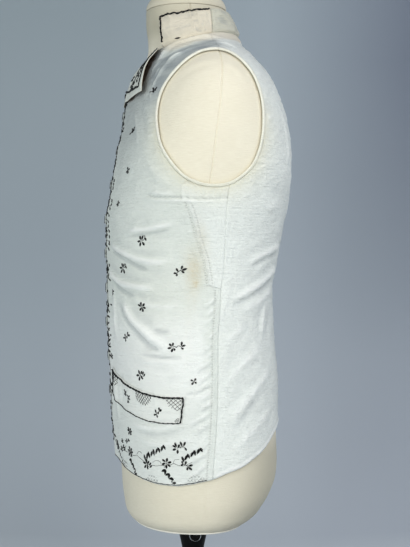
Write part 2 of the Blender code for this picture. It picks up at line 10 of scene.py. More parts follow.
import bmesh
import bpy
import numpy as np
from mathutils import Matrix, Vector


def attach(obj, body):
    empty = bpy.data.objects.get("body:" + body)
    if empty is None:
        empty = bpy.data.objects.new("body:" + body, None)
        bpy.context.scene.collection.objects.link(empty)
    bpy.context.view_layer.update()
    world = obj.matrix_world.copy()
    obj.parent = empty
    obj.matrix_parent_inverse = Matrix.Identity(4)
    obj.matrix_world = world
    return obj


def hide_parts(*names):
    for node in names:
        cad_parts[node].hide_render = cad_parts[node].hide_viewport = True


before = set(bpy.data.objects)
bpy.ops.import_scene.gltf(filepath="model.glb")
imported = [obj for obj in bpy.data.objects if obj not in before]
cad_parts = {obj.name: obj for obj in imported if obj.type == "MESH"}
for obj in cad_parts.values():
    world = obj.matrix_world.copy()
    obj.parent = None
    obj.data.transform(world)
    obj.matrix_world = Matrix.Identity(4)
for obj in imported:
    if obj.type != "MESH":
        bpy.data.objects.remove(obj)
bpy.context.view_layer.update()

MM = 0.001

CLOTH = 1.6  # outer face of a panel over the torso surface
SEAM_GAP = 0.4  # between two pieces along a seam
LAP = 2.6  # how far the left front rises where it lies over the right front
LAP_WIDTH = 11.0
BINDING_RADIUS = 1.9
BINDING_OUT = 1.0
FORM_INSET = 2.1
COLLAR_OUT = 3.3
COLLAR_WALL = 2.0
WELT_OUT = 2.5
BUTTON_RADIUS = 7.0
BUTTONS, BUTTON_TOP, BUTTON_STEP = 9, 727.0, 45.0
SHOULDER_SEAM = 93.0
FOLD_LOW = -1.7  # no fold goes deeper than this, because the form is just under the cloth
# Horizontal sections of the inner face of the garment, in mm: the height, how far the
# section reaches forward and back, where across the depth it is widest, its half width,
# and the powers of the front and back halves (2 is an ellipse, more is squarer).
SECTION_COLUMNS = ("z", "front", "back", "wide_at", "half_width", "front_power", "back_power")
SECTIONS = (
    (196, -58, 49, 0, 104, 2.2, 2.2),
    (199, -77, 62, 1, 119, 2.2, 2.2),
    (205, -86.5, 74.5, 2, 131, 2.25, 2.2),
    (214, -91.5, 86, 4, 139, 2.3, 2.2),
    (226, -93.5, 95, 6, 144, 2.3, 2.25),
    (241, -95.5, 102.5, 7, 147.5, 2.3, 2.3),
    (258, -96.5, 108.5, 7, 149.5, 2.3, 2.3),
    (280, -98.5, 110.5, 7, 151, 2.3, 2.3),
    (310, -102, 109.5, 7, 151, 2.3, 2.3),
    (345, -104.5, 108.5, 6, 149, 2.3, 2.3),
    (380, -105.5, 109, 5, 146, 2.3, 2.3),
    (410, -107, 107, 4, 143, 2.25, 2.25),
    (445, -109.5, 103.5, 3, 139, 2.2, 2.2),
    (480, -110, 101.8, 3, 136, 2.2, 2.2),
    (505, -110, 101.5, 3, 135, 2.2, 2.2),
    (530, -110.5, 107, 4, 136.5, 2.2, 2.2),
    (560, -111.5, 112.6, 5, 141, 2.2, 2.25),
    (590, -111.3, 117, 7, 149, 2.2, 2.35),
    (620, -106.5, 121.2, 9, 158.5, 2.2, 2.4),
    (650, -102, 124.5, 12, 166, 2.2, 2.45),
    (680, -96.3, 124, 14, 171.5, 2.2, 2.45),
    (705, -91, 120.5, 16, 174.5, 2.15, 2.4),
    (730, -87.3, 114.5, 18, 175, 2.05, 2.35),
    (750, -83.5, 107, 19, 172.5, 1.95, 2.3),
    (765, -79.5, 99.5, 20, 167.5, 1.88, 2.2),
    (776, -75.5, 93, 20, 160.5, 1.82, 2.1),
    (785, -71, 87.5, 19.5, 151.5, 1.78, 2.05),
    (792, -67.5, 82.5, 19, 141, 1.74, 2.0),
    (799, -65, 77, 18, 127.5, 1.7, 2.0),
    (807, -63, 70.5, 16, 110, 1.7, 2.0),
    (815, -61.5, 64.5, 13, 91.5, 1.72, 2.0),
    (822, -61.5, 62.5, 10, 77.5, 1.76, 2.0),
    (829, -62, 59.5, 6, 67.5, 1.82, 2.0),
    (837, -62.3, 55, 2, 61, 1.92, 2.0),
    (847, -62.4, 49, -3, 56, 2.0, 2.0),
    (857, -62.4, 45, -8, 53.6, 2.0, 2.0),
    (868, -62.4, 44, -9.2, 53.2, 2.0, 2.0),
)


def section_column(name):
    return np.array([row[SECTION_COLUMNS.index(name)] for row in SECTIONS], float)


def slopes(x, y):
    """Slopes of a curve through the points that never overshoots between two of them."""
    h = np.diff(x)
    d = np.diff(y) / h
    m = np.zeros(len(x))
    m[0], m[-1] = d[0], d[-1]
    for i in range(1, len(x) - 1):
        if d[i - 1] * d[i] > 0:
            w1, w2 = 2 * h[i] + h[i - 1], h[i] + 2 * h[i - 1]
            m[i] = (w1 + w2) / (w1 / d[i - 1] + w2 / d[i])
    return m


def smooth(x, y, at):
    x, y, at = np.asarray(x, float), np.asarray(y, float), np.asarray(at, float)
    m = slopes(x, y)
    i = np.clip(np.searchsorted(x, at, side="right") - 1, 0, len(x) - 2)
    h = x[i + 1] - x[i]
    t = np.clip((at - x[i]) / h, 0, 1)
    return (
        (1 + 2 * t) * (1 - t) ** 2 * y[i]
        + t * (1 - t) ** 2 * h * m[i]
        + t * t * (3 - 2 * t) * y[i + 1]
        + t * t * (t - 1) * h * m[i + 1]
    )


HEIGHTS = section_column("z")
COLUMNS = {name: section_column(name) for name in SECTION_COLUMNS[1:]}


def at_height(name, z):
    return smooth(HEIGHTS, COLUMNS[name], z)


def torso(angle, z):
    """The point of the torso at an angle in degrees (0 centre front, 90 the left side, 180 centre back) and a height in mm."""
    angle, z = np.broadcast_arrays(np.asarray(angle, float), np.asarray(z, float))
    a = np.radians(angle)
    c, s = np.cos(a), np.sin(a)
    front = c >= 0
    power = np.where(front, at_height("front_power", z), at_height("back_power", z))
    reach = np.where(front, at_height("front", z), at_height("back", z))
    mid = at_height("wide_at", z)
    x = at_height("half_width", z) * np.sign(s) * np.abs(s) ** (2 / power)
    y = mid + (reach - mid) * np.abs(c) ** (2 / power)
    return np.stack([x, y, z], axis=-1)


def outward(angle, z):
    da, dz = 0.4, 0.4
    along = torso(np.asarray(angle) + da, z) - torso(np.asarray(angle) - da, z)
    up = torso(angle, np.asarray(z) + dz) - torso(angle, np.asarray(z) - dz)
    n = np.cross(along, up)
    return n / np.linalg.norm(n, axis=-1, keepdims=True)


def place(angle, z, out=0.0):
    """A point at a distance in mm outside the torso."""
    return torso(angle, z) + outward(angle, z) * np.asarray(out, float)[..., None]


def angle_at_y(y, z):
    """The angle on the left side where the section at this height passes this depth."""
    y, z = np.broadcast_arrays(np.asarray(y, float), np.asarray(z, float))
    mid = at_height("wide_at", z)
    front = y < mid
    reach = np.where(front, at_height("front", z), at_height("back", z))
    power = np.where(front, at_height("front_power", z), at_height("back_power", z))
    c = np.clip((y - mid) / (reach - mid), 0, 1) ** (power / 2)
    return np.degrees(np.where(front, np.arccos(c), math.pi - np.arccos(c)))


def angle_at_x(x, z, back=False):
    x, z = np.broadcast_arrays(np.asarray(x, float), np.asarray(z, float))
    power = at_height("back_power" if back else "front_power", z)
    s = np.clip(np.abs(x) / at_height("half_width", z), 0, 1) ** (power / 2)
    a = np.degrees(np.arcsin(s)) * np.sign(x)
    return 180 - a if back else a




# The edges of the left half. Heights and depths are in mm, angles in degrees.
ARMHOLE_COLUMNS = ("y", "z")
ARMHOLE = (
    (18.8, 792.5),
    (2.4, 791.2),
    (-11.0, 785.5),
    (-25.0, 774.8),
    (-39.6, 758.8),
    (-50.0, 740.5),
    (-55.2, 717.4),
    (-55.0, 696.4),
    (-50.6, 674.0),
    (-39.0, 653.0),
    (-24.1, 637.0),
    (-5.5, 628.2),
    (13.5, 625.9),
    (31.5, 629.2),
    (46.0, 638.6),
    (58.2, 651.3),
    (66.4, 670.0),
    (70.6, 693.8),
    (70.6, 719.3),
    (66.6, 741.0),
    (59.0, 760.0),
    (47.2, 776.0),
    (33.5, 787.2),
)
ARMHOLE_FRONT_CORNER = 10.3  # rows of the table, where the insert's front seam meets the armhole
ARMHOLE_SIDE_SEAM = 12.85

SIDE_SEAM_COLUMNS = ("z", "y")
SIDE_SEAM = (
    (270.0, 10.3),
    (300.0, 12.6),
    (337.0, 15.6),
    (397.0, 17.7),
    (434.0, 18.1),
    (481.0, 21.4),
    (502.0, 22.5),
    (515.0, 24.3),
    (561.5, 26.7),
    (589.0, 27.0),
    (628.0, 29.6),
)

INSERT_FRONT_COLUMNS = ("z", "y")
INSERT_FRONT = (
    (505.6, 7.6),
    (531.8, 3.3),
    (556.0, -4.0),
    (568.0, -8.0),
    (580.0, -11.0),
    (592.5, -14.9),
    (604.5, -19.8),
    (611.7, -27.0),
    (636.0, -28.0),
)

HEM_COLUMNS = ("angle", "z")
HEM = (
    (-8.0, 291.0),
    (0.0, 285.5),
    (10.0, 280.5),
    (20.0, 276.0),
    (30.0, 271.2),
    (40.0, 268.0),
    (50.0, 265.2),
    (60.0, 263.4),
    (70.0, 263.2),
    (80.0, 266.0),
    (90.0, 270.8),
    (98.0, 277.8),
    (108.0, 284.0),
    (118.0, 292.8),
    (128.0, 301.8),
    (138.0, 312.0),
    (148.0, 320.8),
    (162.0, 328.4),
    (180.0, 331.5),
)

# The roll of the V neck, from the centre front up to the front end of the collar.
ROLL_COLUMNS = ("z", "x")
ROLL = (
    (742.0, -LAP_WIDTH),
    (752.0, -1.0),
    (764.0, 9.5),
    (776.0, 20.5),
    (788.0, 32.0),
    (799.0, 44.0),
    (808.6, 60.5),
)

# The seam between the panels and the collar, from the front end of the collar to centre back.
NECK_COLUMNS = ("angle", "z")
NECK = (
    (38.5, 808.6),
    (55.5, 813.2),
    (69.5, 818.4),
    (81.0, 821.0),
    (94.5, 823.6),
    (114.5, 827.6),
    (146.0, 831.4),
    (163.0, 832.6),
    (180.0, 833.0),
)

# The top edge of the collar over those rows.
COLLAR_TOP_COLUMNS = ("x", "y", "z")
COLLAR_TOP = (
    (46.0, -47.5, 852.6),
    (57.0, -28.0, 854.8),
    (61.5, -11.0, 856.6),
    (63.5, 1.0, 857.8),
    (64.0, 12.0, 858.9),
    (61.5, 26.0, 859.6),
    (42.5, 41.5, 858.6),
    (23.5, 48.0, 856.8),
    (0.0, 51.0, 855.8),
)
COLLAR_SEAM = 4.35  # rows of the two tables, where the front and back parts meet

WELT_COLUMNS = ("angle", "top", "bottom")
WELT = (
    (12.0, 399.4, 364.2),
    (21.8, 391.5, 355.2),
    (32.2, 384.6, 348.6),
    (41.0, 379.9, 344.0),
    (49.0, 376.2, 340.4),
    (57.3, 373.2, 338.0),
    (66.1, 371.4, 337.1),
    (76.9, 371.3, 338.0),
)

# The revers from the collar down to its lower edge: the height at the roll, and the outer edge.
REVERS_COLUMNS = ("roll_z", "outer_angle", "outer_z")
REVERS = (
    (806.0, 37.6, 803.0),
    (799.5, 36.0, 797.5),
    (792.0, 34.6, 791.0),
    (784.0, 34.0, 783.5),
    (776.0, 34.0, 774.5),
    (768.0, 34.8, 765.0),
    (757.0, 36.0, 754.0),
    (743.4, 37.8, 742.4),
)
REVERS_POINT_DROP = 3.0  # how far the lower edge hangs below the last row at its middle

# Turned pieces, as columns of radius and height.
CAP = ((52.9, 868.5), (53.2, 871.5), (51.4, 877.0), (47.4, 882.5), (39.0, 888.0), (26.0, 891.5), (12.0, 893.0))
SOCKET = ((12.5, 141.0), (13.6, 146.0), (14.7, 157.0), (18.3, 173.5), (19.6, 180.0), (24.5, 187.5), (25.5, 190.0), (25.5, 195.5))
FOOT = (  # the round base and the pole that stands in it
    (147.0, 0.0),
    (150.0, 2.0),
    (150.0, 7.5),
    (148.0, 10.5),
    (143.0, 12.2),
    (60.0, 14.0),
    (21.0, 15.5),
    (14.0, 18.0),
    (11.0, 22.5),
    (11.0, 140.6),
)
KNOB = ((3.5, 0.0), (3.5, 5.0), (7.4, 5.6), (8.0, 7.0), (8.0, 12.5), (7.0, 13.6))
KNOB_FROM = 21.8  # from the stand's axis
KNOB_HEIGHT = 178.0


def table(rows, columns, name):
    return np.array([row[columns.index(name)] for row in rows], float)


def along(values, at):
    """A column of a table read at a fractional row."""
    return smooth(np.arange(len(values)), values, at)


# ---------------------------------------------------------------- edges


def armhole(at):
    """Depth and height of the armhole's binding at fractional rows of the closed table."""
    y = table(ARMHOLE, ARMHOLE_COLUMNS, "y")
    z = table(ARMHOLE, ARMHOLE_COLUMNS, "z")
    count = len(y)
    at = np.asarray(at, float) % count
    i = np.floor(at).astype(int)
    t = at - i

    def curve(v):
        a, b, c, d = v[(i - 1) % count], v[i % count], v[(i + 1) % count], v[(i + 2) % count]
        return b + 0.5 * t * (c - a + t * (2 * a - 5 * b + 4 * c - d + t * (3 * (b - c) + d - a)))

    return curve(y), curve(z)


def armhole_frame(at):
    """Points on the binding's line, with the torso's normal and the direction away from the armhole."""
    y, z = armhole(at)
    middle = place(angle_at_y(y, z), z, np.full(np.shape(y), BINDING_OUT))
    ya, za = armhole(np.asarray(at) + 0.05)
    yb, zb = armhole(np.asarray(at) - 0.05)
    tangent = torso(angle_at_y(ya, za), za) - torso(angle_at_y(yb, zb), zb)
    tangent /= np.linalg.norm(tangent, axis=-1, keepdims=True)
    normal = outward(angle_at_y(y, z), z)
    away = np.cross(normal, tangent)
    away /= np.linalg.norm(away, axis=-1, keepdims=True)
    centre = np.array([150.0, 8.0, 710.0])
    sign = np.sign(np.sum(away * (middle - centre), axis=-1, keepdims=True))
    return middle, normal, away * sign


def armhole_edge(at, off=BINDING_RADIUS + SEAM_GAP):
    """The edge of the panels round the armhole, as angle and height."""
    middle, normal, away = armhole_frame(at)
    point = middle - normal * BINDING_OUT + away * off
    y, z = point[..., 1], point[..., 2]
    return np.stack([angle_at_y(y, z), z], axis=-1)


def side_seam(z, shift=0.0):
    y = smooth(table(SIDE_SEAM, SIDE_SEAM_COLUMNS, "z"), table(SIDE_SEAM, SIDE_SEAM_COLUMNS, "y"), z) + shift
    return np.stack([angle_at_y(y, z), np.asarray(z, float)], axis=-1)


def insert_front(z, shift=0.0):
    y = smooth(table(INSERT_FRONT, INSERT_FRONT_COLUMNS, "z"), table(INSERT_FRONT, INSERT_FRONT_COLUMNS, "y"), z) + shift
    return np.stack([angle_at_y(y, z), np.asarray(z, float)], axis=-1)


def hem_height(angle):
    return smooth(table(HEM, HEM_COLUMNS, "angle"), table(HEM, HEM_COLUMNS, "z"), angle)


def front_edge(z):
    """The centre-front edge, a little past the centre line."""
    z = np.asarray(z, float)
    return np.stack([angle_at_x(np.full(z.shape, -LAP_WIDTH), z), z], axis=-1)


def roll(z):
    x = smooth(table(ROLL, ROLL_COLUMNS, "z"), table(ROLL, ROLL_COLUMNS, "x"), z)
    return np.stack([angle_at_x(x, z), np.asarray(z, float)], axis=-1)


def neck(at):
    return np.stack([along(table(NECK, NECK_COLUMNS, "angle"), at), along(table(NECK, NECK_COLUMNS, "z"), at)], axis=-1)


def neck_row(angle):
    """The fractional row of the neck table at an angle."""
    rows = np.linspace(0, len(NECK) - 1, 801)
    return float(np.interp(angle, neck(rows)[:, 0], rows))


def lap(angle, z):
    """How far the left front is lifted over the right front."""
    x = torso(angle, z)[..., 0]
    t = np.clip((44.0 - x) / 28.0, 0, 1)
    return LAP * t * t * (3 - 2 * t)


# ---------------------------------------------------------------- the cloth laid flat

FLAT_ANGLES = np.arange(-24.0, 181.0, 1.0)
FLAT_HEIGHTS = np.arange(196.0, 869.0, 3.0)


def flat_tables():
    grid = torso(FLAT_ANGLES[:, None], FLAT_HEIGHTS[None, :])
    around = np.zeros(grid.shape[:2])
    around[1:] = np.cumsum(np.linalg.norm(np.diff(grid, axis=0), axis=-1), axis=0)
    around -= around[FLAT_ANGLES == 0.0]
    up = np.zeros(grid.shape[:2])
    up[:, 1:] = np.cumsum(np.linalg.norm(np.diff(grid, axis=1), axis=-1), axis=1)
    up -= up[:, [int(np.argmin(np.abs(FLAT_HEIGHTS - 499)))]]
    return around, up


AROUND, UP = flat_tables()


def flat(angle, z):
    """How far a point of the torso is round from centre front, and up from the waist, in mm along the surface."""
    angle, z = np.broadcast_arrays(np.asarray(angle, float), np.asarray(z, float))
    a = np.clip((angle - FLAT_ANGLES[0]), 0, len(FLAT_ANGLES) - 1.000001)
    h = np.clip((z - FLAT_HEIGHTS[0]) / 3.0, 0, len(FLAT_HEIGHTS) - 1.000001)
    i, j = a.astype(int), h.astype(int)
    p, q = a - i, h - j

    def read(t):
        return (t[i, j] * (1 - p) + t[i + 1, j] * p) * (1 - q) + (t[i, j + 1] * (1 - p) + t[i + 1, j + 1] * p) * q

    return np.stack([read(AROUND), read(UP)], axis=-1)


def curve_through(points, per=8):
    """More points on a smooth line through the given ones."""
    p = np.asarray(points, float)
    if len(p) < 3:
        t = np.linspace(0, 1, per + 1)[:, None]
        return p[0] * (1 - t) + p[-1] * t
    ends = np.concatenate([[2 * p[0] - p[1]], p, [2 * p[-1] - p[-2]]])
    out = []
    for a, b, c, d in zip(ends, ends[1:], ends[2:], ends[3:]):
        t = np.linspace(0, 1, per, endpoint=False)[:, None]
        out.append(b + 0.5 * t * (c - a + t * (2 * a - 5 * b + 4 * c - d + t * (3 * (b - c) + d - a))))
    out.append(p[-1][None])
    return np.concatenate(out)


def to_line(points, line, reach):
    """Signed distance of each point (positive on the left of the line) and its share of the way along the line."""
    gap = np.full(len(points), 1e6)
    share = np.zeros(len(points))
    step = np.linalg.norm(np.diff(line, axis=0), axis=1)
    run = np.concatenate([[0], np.cumsum(step)])
    near = np.all((points > line.min(axis=0) - reach) & (points < line.max(axis=0) + reach), axis=1)
    if not near.any():
        return gap, share
    p = points[near]
    best = np.full(len(p), 1e6)
    where = np.zeros(len(p))
    sign = np.ones(len(p))
    for i in range(len(step)):
        d = (line[i + 1] - line[i]) / max(step[i], 1e-9)
        r = p - line[i]
        t = np.clip(r @ d, 0, step[i])
        off = r - t[:, None] * d
        dist = np.hypot(off[:, 0], off[:, 1])
        closer = dist < best
        best = np.where(closer, dist, best)
        where = np.where(closer, run[i] + t, where)
        sign = np.where(closer, np.sign(d[0] * r[:, 1] - d[1] * r[:, 0] + 1e-12), sign)
    gap[near] = best * sign
    share[near] = where / run[-1]
    return gap, share


def step_up(t):
    t = np.clip(t, 0, 1)
    return t * t * (3 - 2 * t)


def ripple(s, m, size, seed):
    """Smooth uneven values from -1 to 1, about one swell for each size in mm."""
    lattice = np.random.default_rng(seed).uniform(-1, 1, (64, 64))
    x, y = np.asarray(s, float) / size + 1000.3, np.asarray(m, float) / size + 1000.7
    i, j = np.floor(x).astype(int), np.floor(y).astype(int)
    p, q = x - i, y - j
    p, q = p * p * p * (p * (p * 6 - 15) + 10), q * q * q * (q * (q * 6 - 15) + 10)
    i0, j0, i1, j1 = i % 64, j % 64, (i + 1) % 64, (j + 1) % 64
    low = lattice[i0, j0] * (1 - p) + lattice[i1, j0] * p
    high = lattice[i0, j1] * (1 - p) + lattice[i1, j1] * p
    return low * (1 - q) + high * q


# ---------------------------------------------------------------- folds

# Each fold: its height in mm (a trough is below 0), its half width, the share of its length
# over which each end fades, and its line as pairs of angle and height.
FOLD_COLUMNS = ("height", "width", "fade", "line")
FOLDS = (
    # chest and shoulder
    (2.6, 4.2, 0.25, ((36.0, 779.0), (41.4, 797.8), (51.4, 805.8), (64.5, 810.3), (77.3, 813.2), (97.7, 815.4), (120.0, 818.0))),
    (-1.6, 5.0, 0.3, ((34.2, 767.2), (40.1, 782.5), (48.6, 794.3), (60.2, 801.6), (74.0, 803.8), (88.3, 803.5))),
    (1.3, 2.6, 0.35, ((39.8, 750.5), (44.0, 767.1), (50.4, 781.1), (61.0, 792.0), (72.6, 796.0), (83.3, 795.4))),
    (-1.0, 2.6, 0.35, ((36.0, 748.0), (41.0, 766.0), (47.0, 780.0), (56.0, 791.0), (68.0, 799.0))),
    (1.0, 5.0, 0.4, ((22.0, 735.0), (28.0, 715.0), (34.0, 694.0), (37.0, 668.0))),
    (-0.9, 5.0, 0.4, ((27.0, 742.0), (34.0, 722.0), (40.0, 700.0), (43.0, 676.0))),
    (1.0, 6.0, 0.4, ((44.0, 664.0), (52.0, 648.0), (62.0, 633.0), (72.0, 620.0))),
    (1.2, 1.7, 0.25, ((62.5, 792.0), (54.0, 785.5), (46.0, 777.5), (41.5, 770.0), (39.0, 759.0))),
    (1.2, 1.8, 0.25, ((66.0, 799.5), (54.0, 795.5), (44.0, 789.0), (37.0, 779.0), (35.0, 765.0))),
    (-1.0, 1.5, 0.25, ((64.0, 795.8), (54.0, 790.4), (45.0, 783.0), (39.5, 774.5), (37.0, 762.0))),
    (1.0, 1.6, 0.25, ((74.0, 804.0), (61.0, 801.5), (48.5, 795.5), (40.0, 786.0))),
    (1.0, 1.8, 0.3, ((116.5, 794.0), (106.0, 802.5), (89.0, 804.5), (73.5, 801.0))),
    (0.8, 1.6, 0.3, ((105.0, 783.0), (98.5, 793.5), (85.5, 796.0), (74.0, 794.0))),
    (1.1, 2.0, 0.3, ((52.0, 778.5), (46.0, 769.5), (43.0, 757.5), (41.0, 743.0), (41.5, 728.0))),
    (-0.9, 1.8, 0.3, ((49.0, 779.0), (43.0, 769.5), (40.0, 757.5), (38.0, 743.0), (38.0, 726.0))),
    # under the arm
    (-1.8, 0.95, 0.16, ((50.5, 618.2), (55.6, 613.9), (66.0, 612.2), (77.0, 612.2))),
    (0.8, 2.2, 0.25, ((49.0, 614.0), (56.0, 609.8), (66.0, 608.4), (77.0, 608.2), (92.0, 607.0))),
    (0.8, 2.6, 0.3, ((52.5, 622.0), (60.0, 618.0), (70.0, 617.5))),
    # the front above the waist
    (-1.3, 1.8, 0.3, ((34.0, 566.5), (45.0, 567.2), (55.5, 568.6), (65.8, 572.0), (73.0, 573.7))),
    (1.8, 3.6, 0.3, ((36.0, 573.5), (46.0, 574.0), (57.0, 575.5), (67.0, 579.5), (76.0, 582.0))),
    (2.4, 5.2, 0.25, ((14.0, 558.5), (27.0, 551.0), (39.0, 543.5), (51.0, 537.0), (63.7, 533.6), (74.0, 533.0))),
    (-2.4, 2.6, 0.22, ((13.0, 551.5), (26.0, 544.5), (38.0, 536.0), (48.0, 528.0), (59.0, 522.0))),
    (3.2, 4.8, 0.22, ((9.0, 527.0), (18.0, 519.5), (27.0, 512.0), (36.0, 506.5), (50.0, 502.7), (62.0, 501.5))),
    (-2.4, 2.8, 0.22, ((11.0, 519.0), (20.0, 509.0), (29.0, 500.0), (38.0, 494.0), (47.0, 490.0))),
    (1.4, 4.0, 0.35, ((16.0, 507.0), (20.5, 489.0), (22.2, 470.0), (22.8, 449.0), (23.4, 428.0))),
    (-2.6, 2.7, 0.2, ((27.0, 489.0), (29.5, 476.0), (35.3, 462.3), (44.9, 448.6), (54.1, 433.3), (62.3, 425.9), (67.0, 421.5))),
    (2.8, 5.0, 0.22, ((32.0, 490.0), (36.9, 476.6), (42.8, 462.5), (50.5, 451.6), (58.6, 439.6), (66.7, 431.8), (72.0, 428.5))),
    (1.2, 3.6, 0.35, ((36.0, 497.0), (46.0, 486.0), (58.0, 480.0), (70.0, 478.5), (82.0, 481.0))),
    (-1.5, 1.8, 0.3, ((58.0, 451.2), (62.0, 449.8), (66.3, 449.3), (71.0, 449.9))),
    (-1.5, 1.4, 0.25, ((46.2, 420.0), (54.0, 418.9), (62.0, 418.3), (73.2, 417.0), (80.0, 418.5))),
    (1.5, 3.0, 0.3, ((45.0, 413.0), (56.0, 411.8), (66.0, 411.0), (78.0, 411.0))),
    (0.9, 3.4, 0.3, ((52.0, 425.5), (64.0, 425.0), (76.0, 426.5), (86.0, 431.0))),
    # by the pocket and down to the hem
    (-1.7, 1.5, 0.3, ((77.9, 373.8), (84.0, 375.0), (89.0, 381.0), (91.9, 385.7))),
    (1.0, 3.0, 0.35, ((79.0, 368.0), (85.0, 370.0), (90.0, 375.5), (94.0, 381.5))),
    (1.2, 4.4, 0.35, ((34.0, 336.0), (46.0, 331.0), (58.0, 330.5), (70.0, 335.0), (82.0, 345.0))),
    (-1.0, 3.2, 0.35, ((36.0, 330.5), (48.0, 325.5), (60.0, 325.0), (72.0, 329.5), (84.0, 339.5))),
    (1.1, 3.6, 0.35, ((40.0, 318.0), (52.0, 313.0), (64.0, 312.5), (76.0, 318.0), (87.0, 327.0))),
    (1.3, 5.0, 0.4, ((14.0, 405.0), (19.0, 380.0), (20.0, 350.0), (19.0, 322.0))),
    (-1.0, 4.0, 0.4, ((26.0, 400.0), (28.0, 372.0), (28.0, 344.0))),
    # the back
    (1.6, 3.4, 0.2, ((116.0, 530.0), (126.6, 540.8), (137.0, 548.0), (148.0, 553.2), (158.0, 556.5))),
    (-1.3, 2.6, 0.2, ((119.0, 525.5), (129.0, 534.5), (140.0, 541.0), (150.0, 545.6), (159.0, 549.0))),
    (2.0, 4.4, 0.18, ((104.0, 486.0), (113.8, 492.4), (125.0, 501.4), (139.7, 513.4), (150.0, 522.8), (160.0, 529.0))),
    (-1.7, 2.6, 0.18, ((105.0, 479.5), (112.1, 485.2), (122.5, 492.0), (134.4, 500.0), (147.0, 508.0), (158.0, 516.0))),
    (1.6, 4.6, 0.3, ((110.0, 470.0), (122.0, 479.0), (135.0, 487.0), (147.0, 495.0), (158.0, 501.0))),
    (1.5, 4.6, 0.35, ((134.0, 436.0), (136.0, 458.4), (139.7, 473.3), (145.5, 485.7))),
    (-1.1, 4.0, 0.35, ((142.0, 436.0), (145.0, 458.0), (150.0, 476.0))),
    (1.4, 6.0, 0.35, ((97.0, 330.0), (105.1, 347.8), (117.0, 370.7), (132.0, 392.0), (146.0, 408.0))),
    (-1.0, 5.0, 0.35, ((101.0, 325.0), (110.0, 343.0), (122.0, 364.0), (137.0, 386.0))),
    (1.1, 5.0, 0.35, ((99.0, 296.0), (110.3, 317.2), (128.0, 338.0), (146.0, 356.0))),
    (1.2, 5.0, 0.35, ((97.0, 380.0), (106.0, 398.0), (120.0, 418.0), (136.0, 430.0))),
    (1.1, 5.0, 0.35, ((98.0, 430.0), (108.0, 446.0), (120.0, 458.0))),
    (1.0, 4.0, 0.4, ((143.0, 640.0), (145.0, 672.0), (143.0, 706.0), (138.0, 734.0))),
    (-0.8, 3.4, 0.4, ((148.0, 646.0), (150.5, 676.0), (149.0, 706.0))),
    (1.1, 7.0, 0.4, ((116.0, 600.0), (132.0, 604.0), (150.0, 612.0))),
    (1.2, 7.0, 0.4, ((150.0, 790.0), (163.0, 770.0), (168.0, 740.0), (166.0, 706.0))),
    (1.0, 7.0, 0.4, ((176.0, 640.0), (168.0, 614.0), (160.0, 590.0))),
)


def side_puckers():
    """Short tension folds that run from the side seam, down and forward, and a few faint ones behind it."""
    rng = np.random.default_rng(41)
    made = []
    z = 282.0
    while z < 498.0:
        reach = rng.uniform(13.0, 30.0) * (1.25 if z < 420 else 0.8)
        drop = reach * rng.uniform(0.45, 0.85)
        start = side_seam(np.array([z]))[0]
        a = start[0] - 2.2
        turn = reach / 2.45
        height = rng.uniform(0.7, 1.5) * (1.0 if z < 430 else 0.75)
        made.append((height, rng.uniform(1.9, 2.9), 0.3, ((a, z), (a - turn * 0.45, z - drop * 0.5), (a - turn, z - drop))))
        made.append((-height * 0.6, rng.uniform(1.5, 2.1), 0.3, ((a, z - 4.2), (a - turn * 0.42, z - drop * 0.46 - 4.4), (a - turn * 0.85, z - drop * 0.9 - 4.6))))
        if rng.uniform() < 0.55:
            back = rng.uniform(9.0, 17.0)
            made.append((height * 0.6, rng.uniform(2.0, 3.2), 0.4, ((a + 3.6, z + 1.0), (a + 3.6 + back / 2.4, z + back * 0.6))))
        z += rng.uniform(8.5, 14.0)
    # puckers along the insert's stitched front seam
    z = 514.0
    while z < 602.0:
        start = insert_front(np.array([z]))[0]
        turn = rng.uniform(3.0, 5.5)
        made.append((rng.uniform(0.35, 0.7), 1.3, 0.3, ((start[0] - 0.8, z), (start[0] - 0.8 - turn, z - rng.uniform(-0.5, 2.0)))))
        z += rng.uniform(4.2, 6.6)
    # slight gathers into the armhole's binding
    for row in (6.4, 7.3, 8.1, 9.2, 14.2, 15.4, 16.3, 17.6, 18.8, 20.1, 21.2):
        near = armhole_edge(np.array([row]), off=4.0)[0]
        far = armhole_edge(np.array([row + rng.uniform(-0.25, 0.25)]), off=rng.uniform(13.0, 22.0))[0]
        made.append((rng.uniform(0.35, 0.75), 1.9, 0.4, (tuple(near), tuple(far))))
    return tuple(made)


def fold_lines():
    lines = []
    for height, width, fade, line in FOLDS + side_puckers():
        pairs = np.array(line, float)
        lines.append((height, width, fade, flat_past_back(curve_through(pairs, 6))))
    return lines


def flat_past_back(pairs):
    """flat() for lines that may run past centre back, which then go straight on."""
    angle, z = pairs[:, 0], pairs[:, 1]
    at = flat(np.minimum(angle, 180.0), z)
    over = angle > 180.0
    if over.any():
        at[over, 0] += (angle[over] - 180.0) * 1.9
    return at


FOLD_LINES = fold_lines()
ARMHOLE_LINE = flat(*armhole_edge(np.linspace(0, len(ARMHOLE), 231), off=BINDING_RADIUS).T)
BAND_LINE = flat(*np.array([(77.2, 611.9), (81.0, 610.3), (85.0, 609.8), (91.0, 610.4), (97.5, 611.6)]).T)


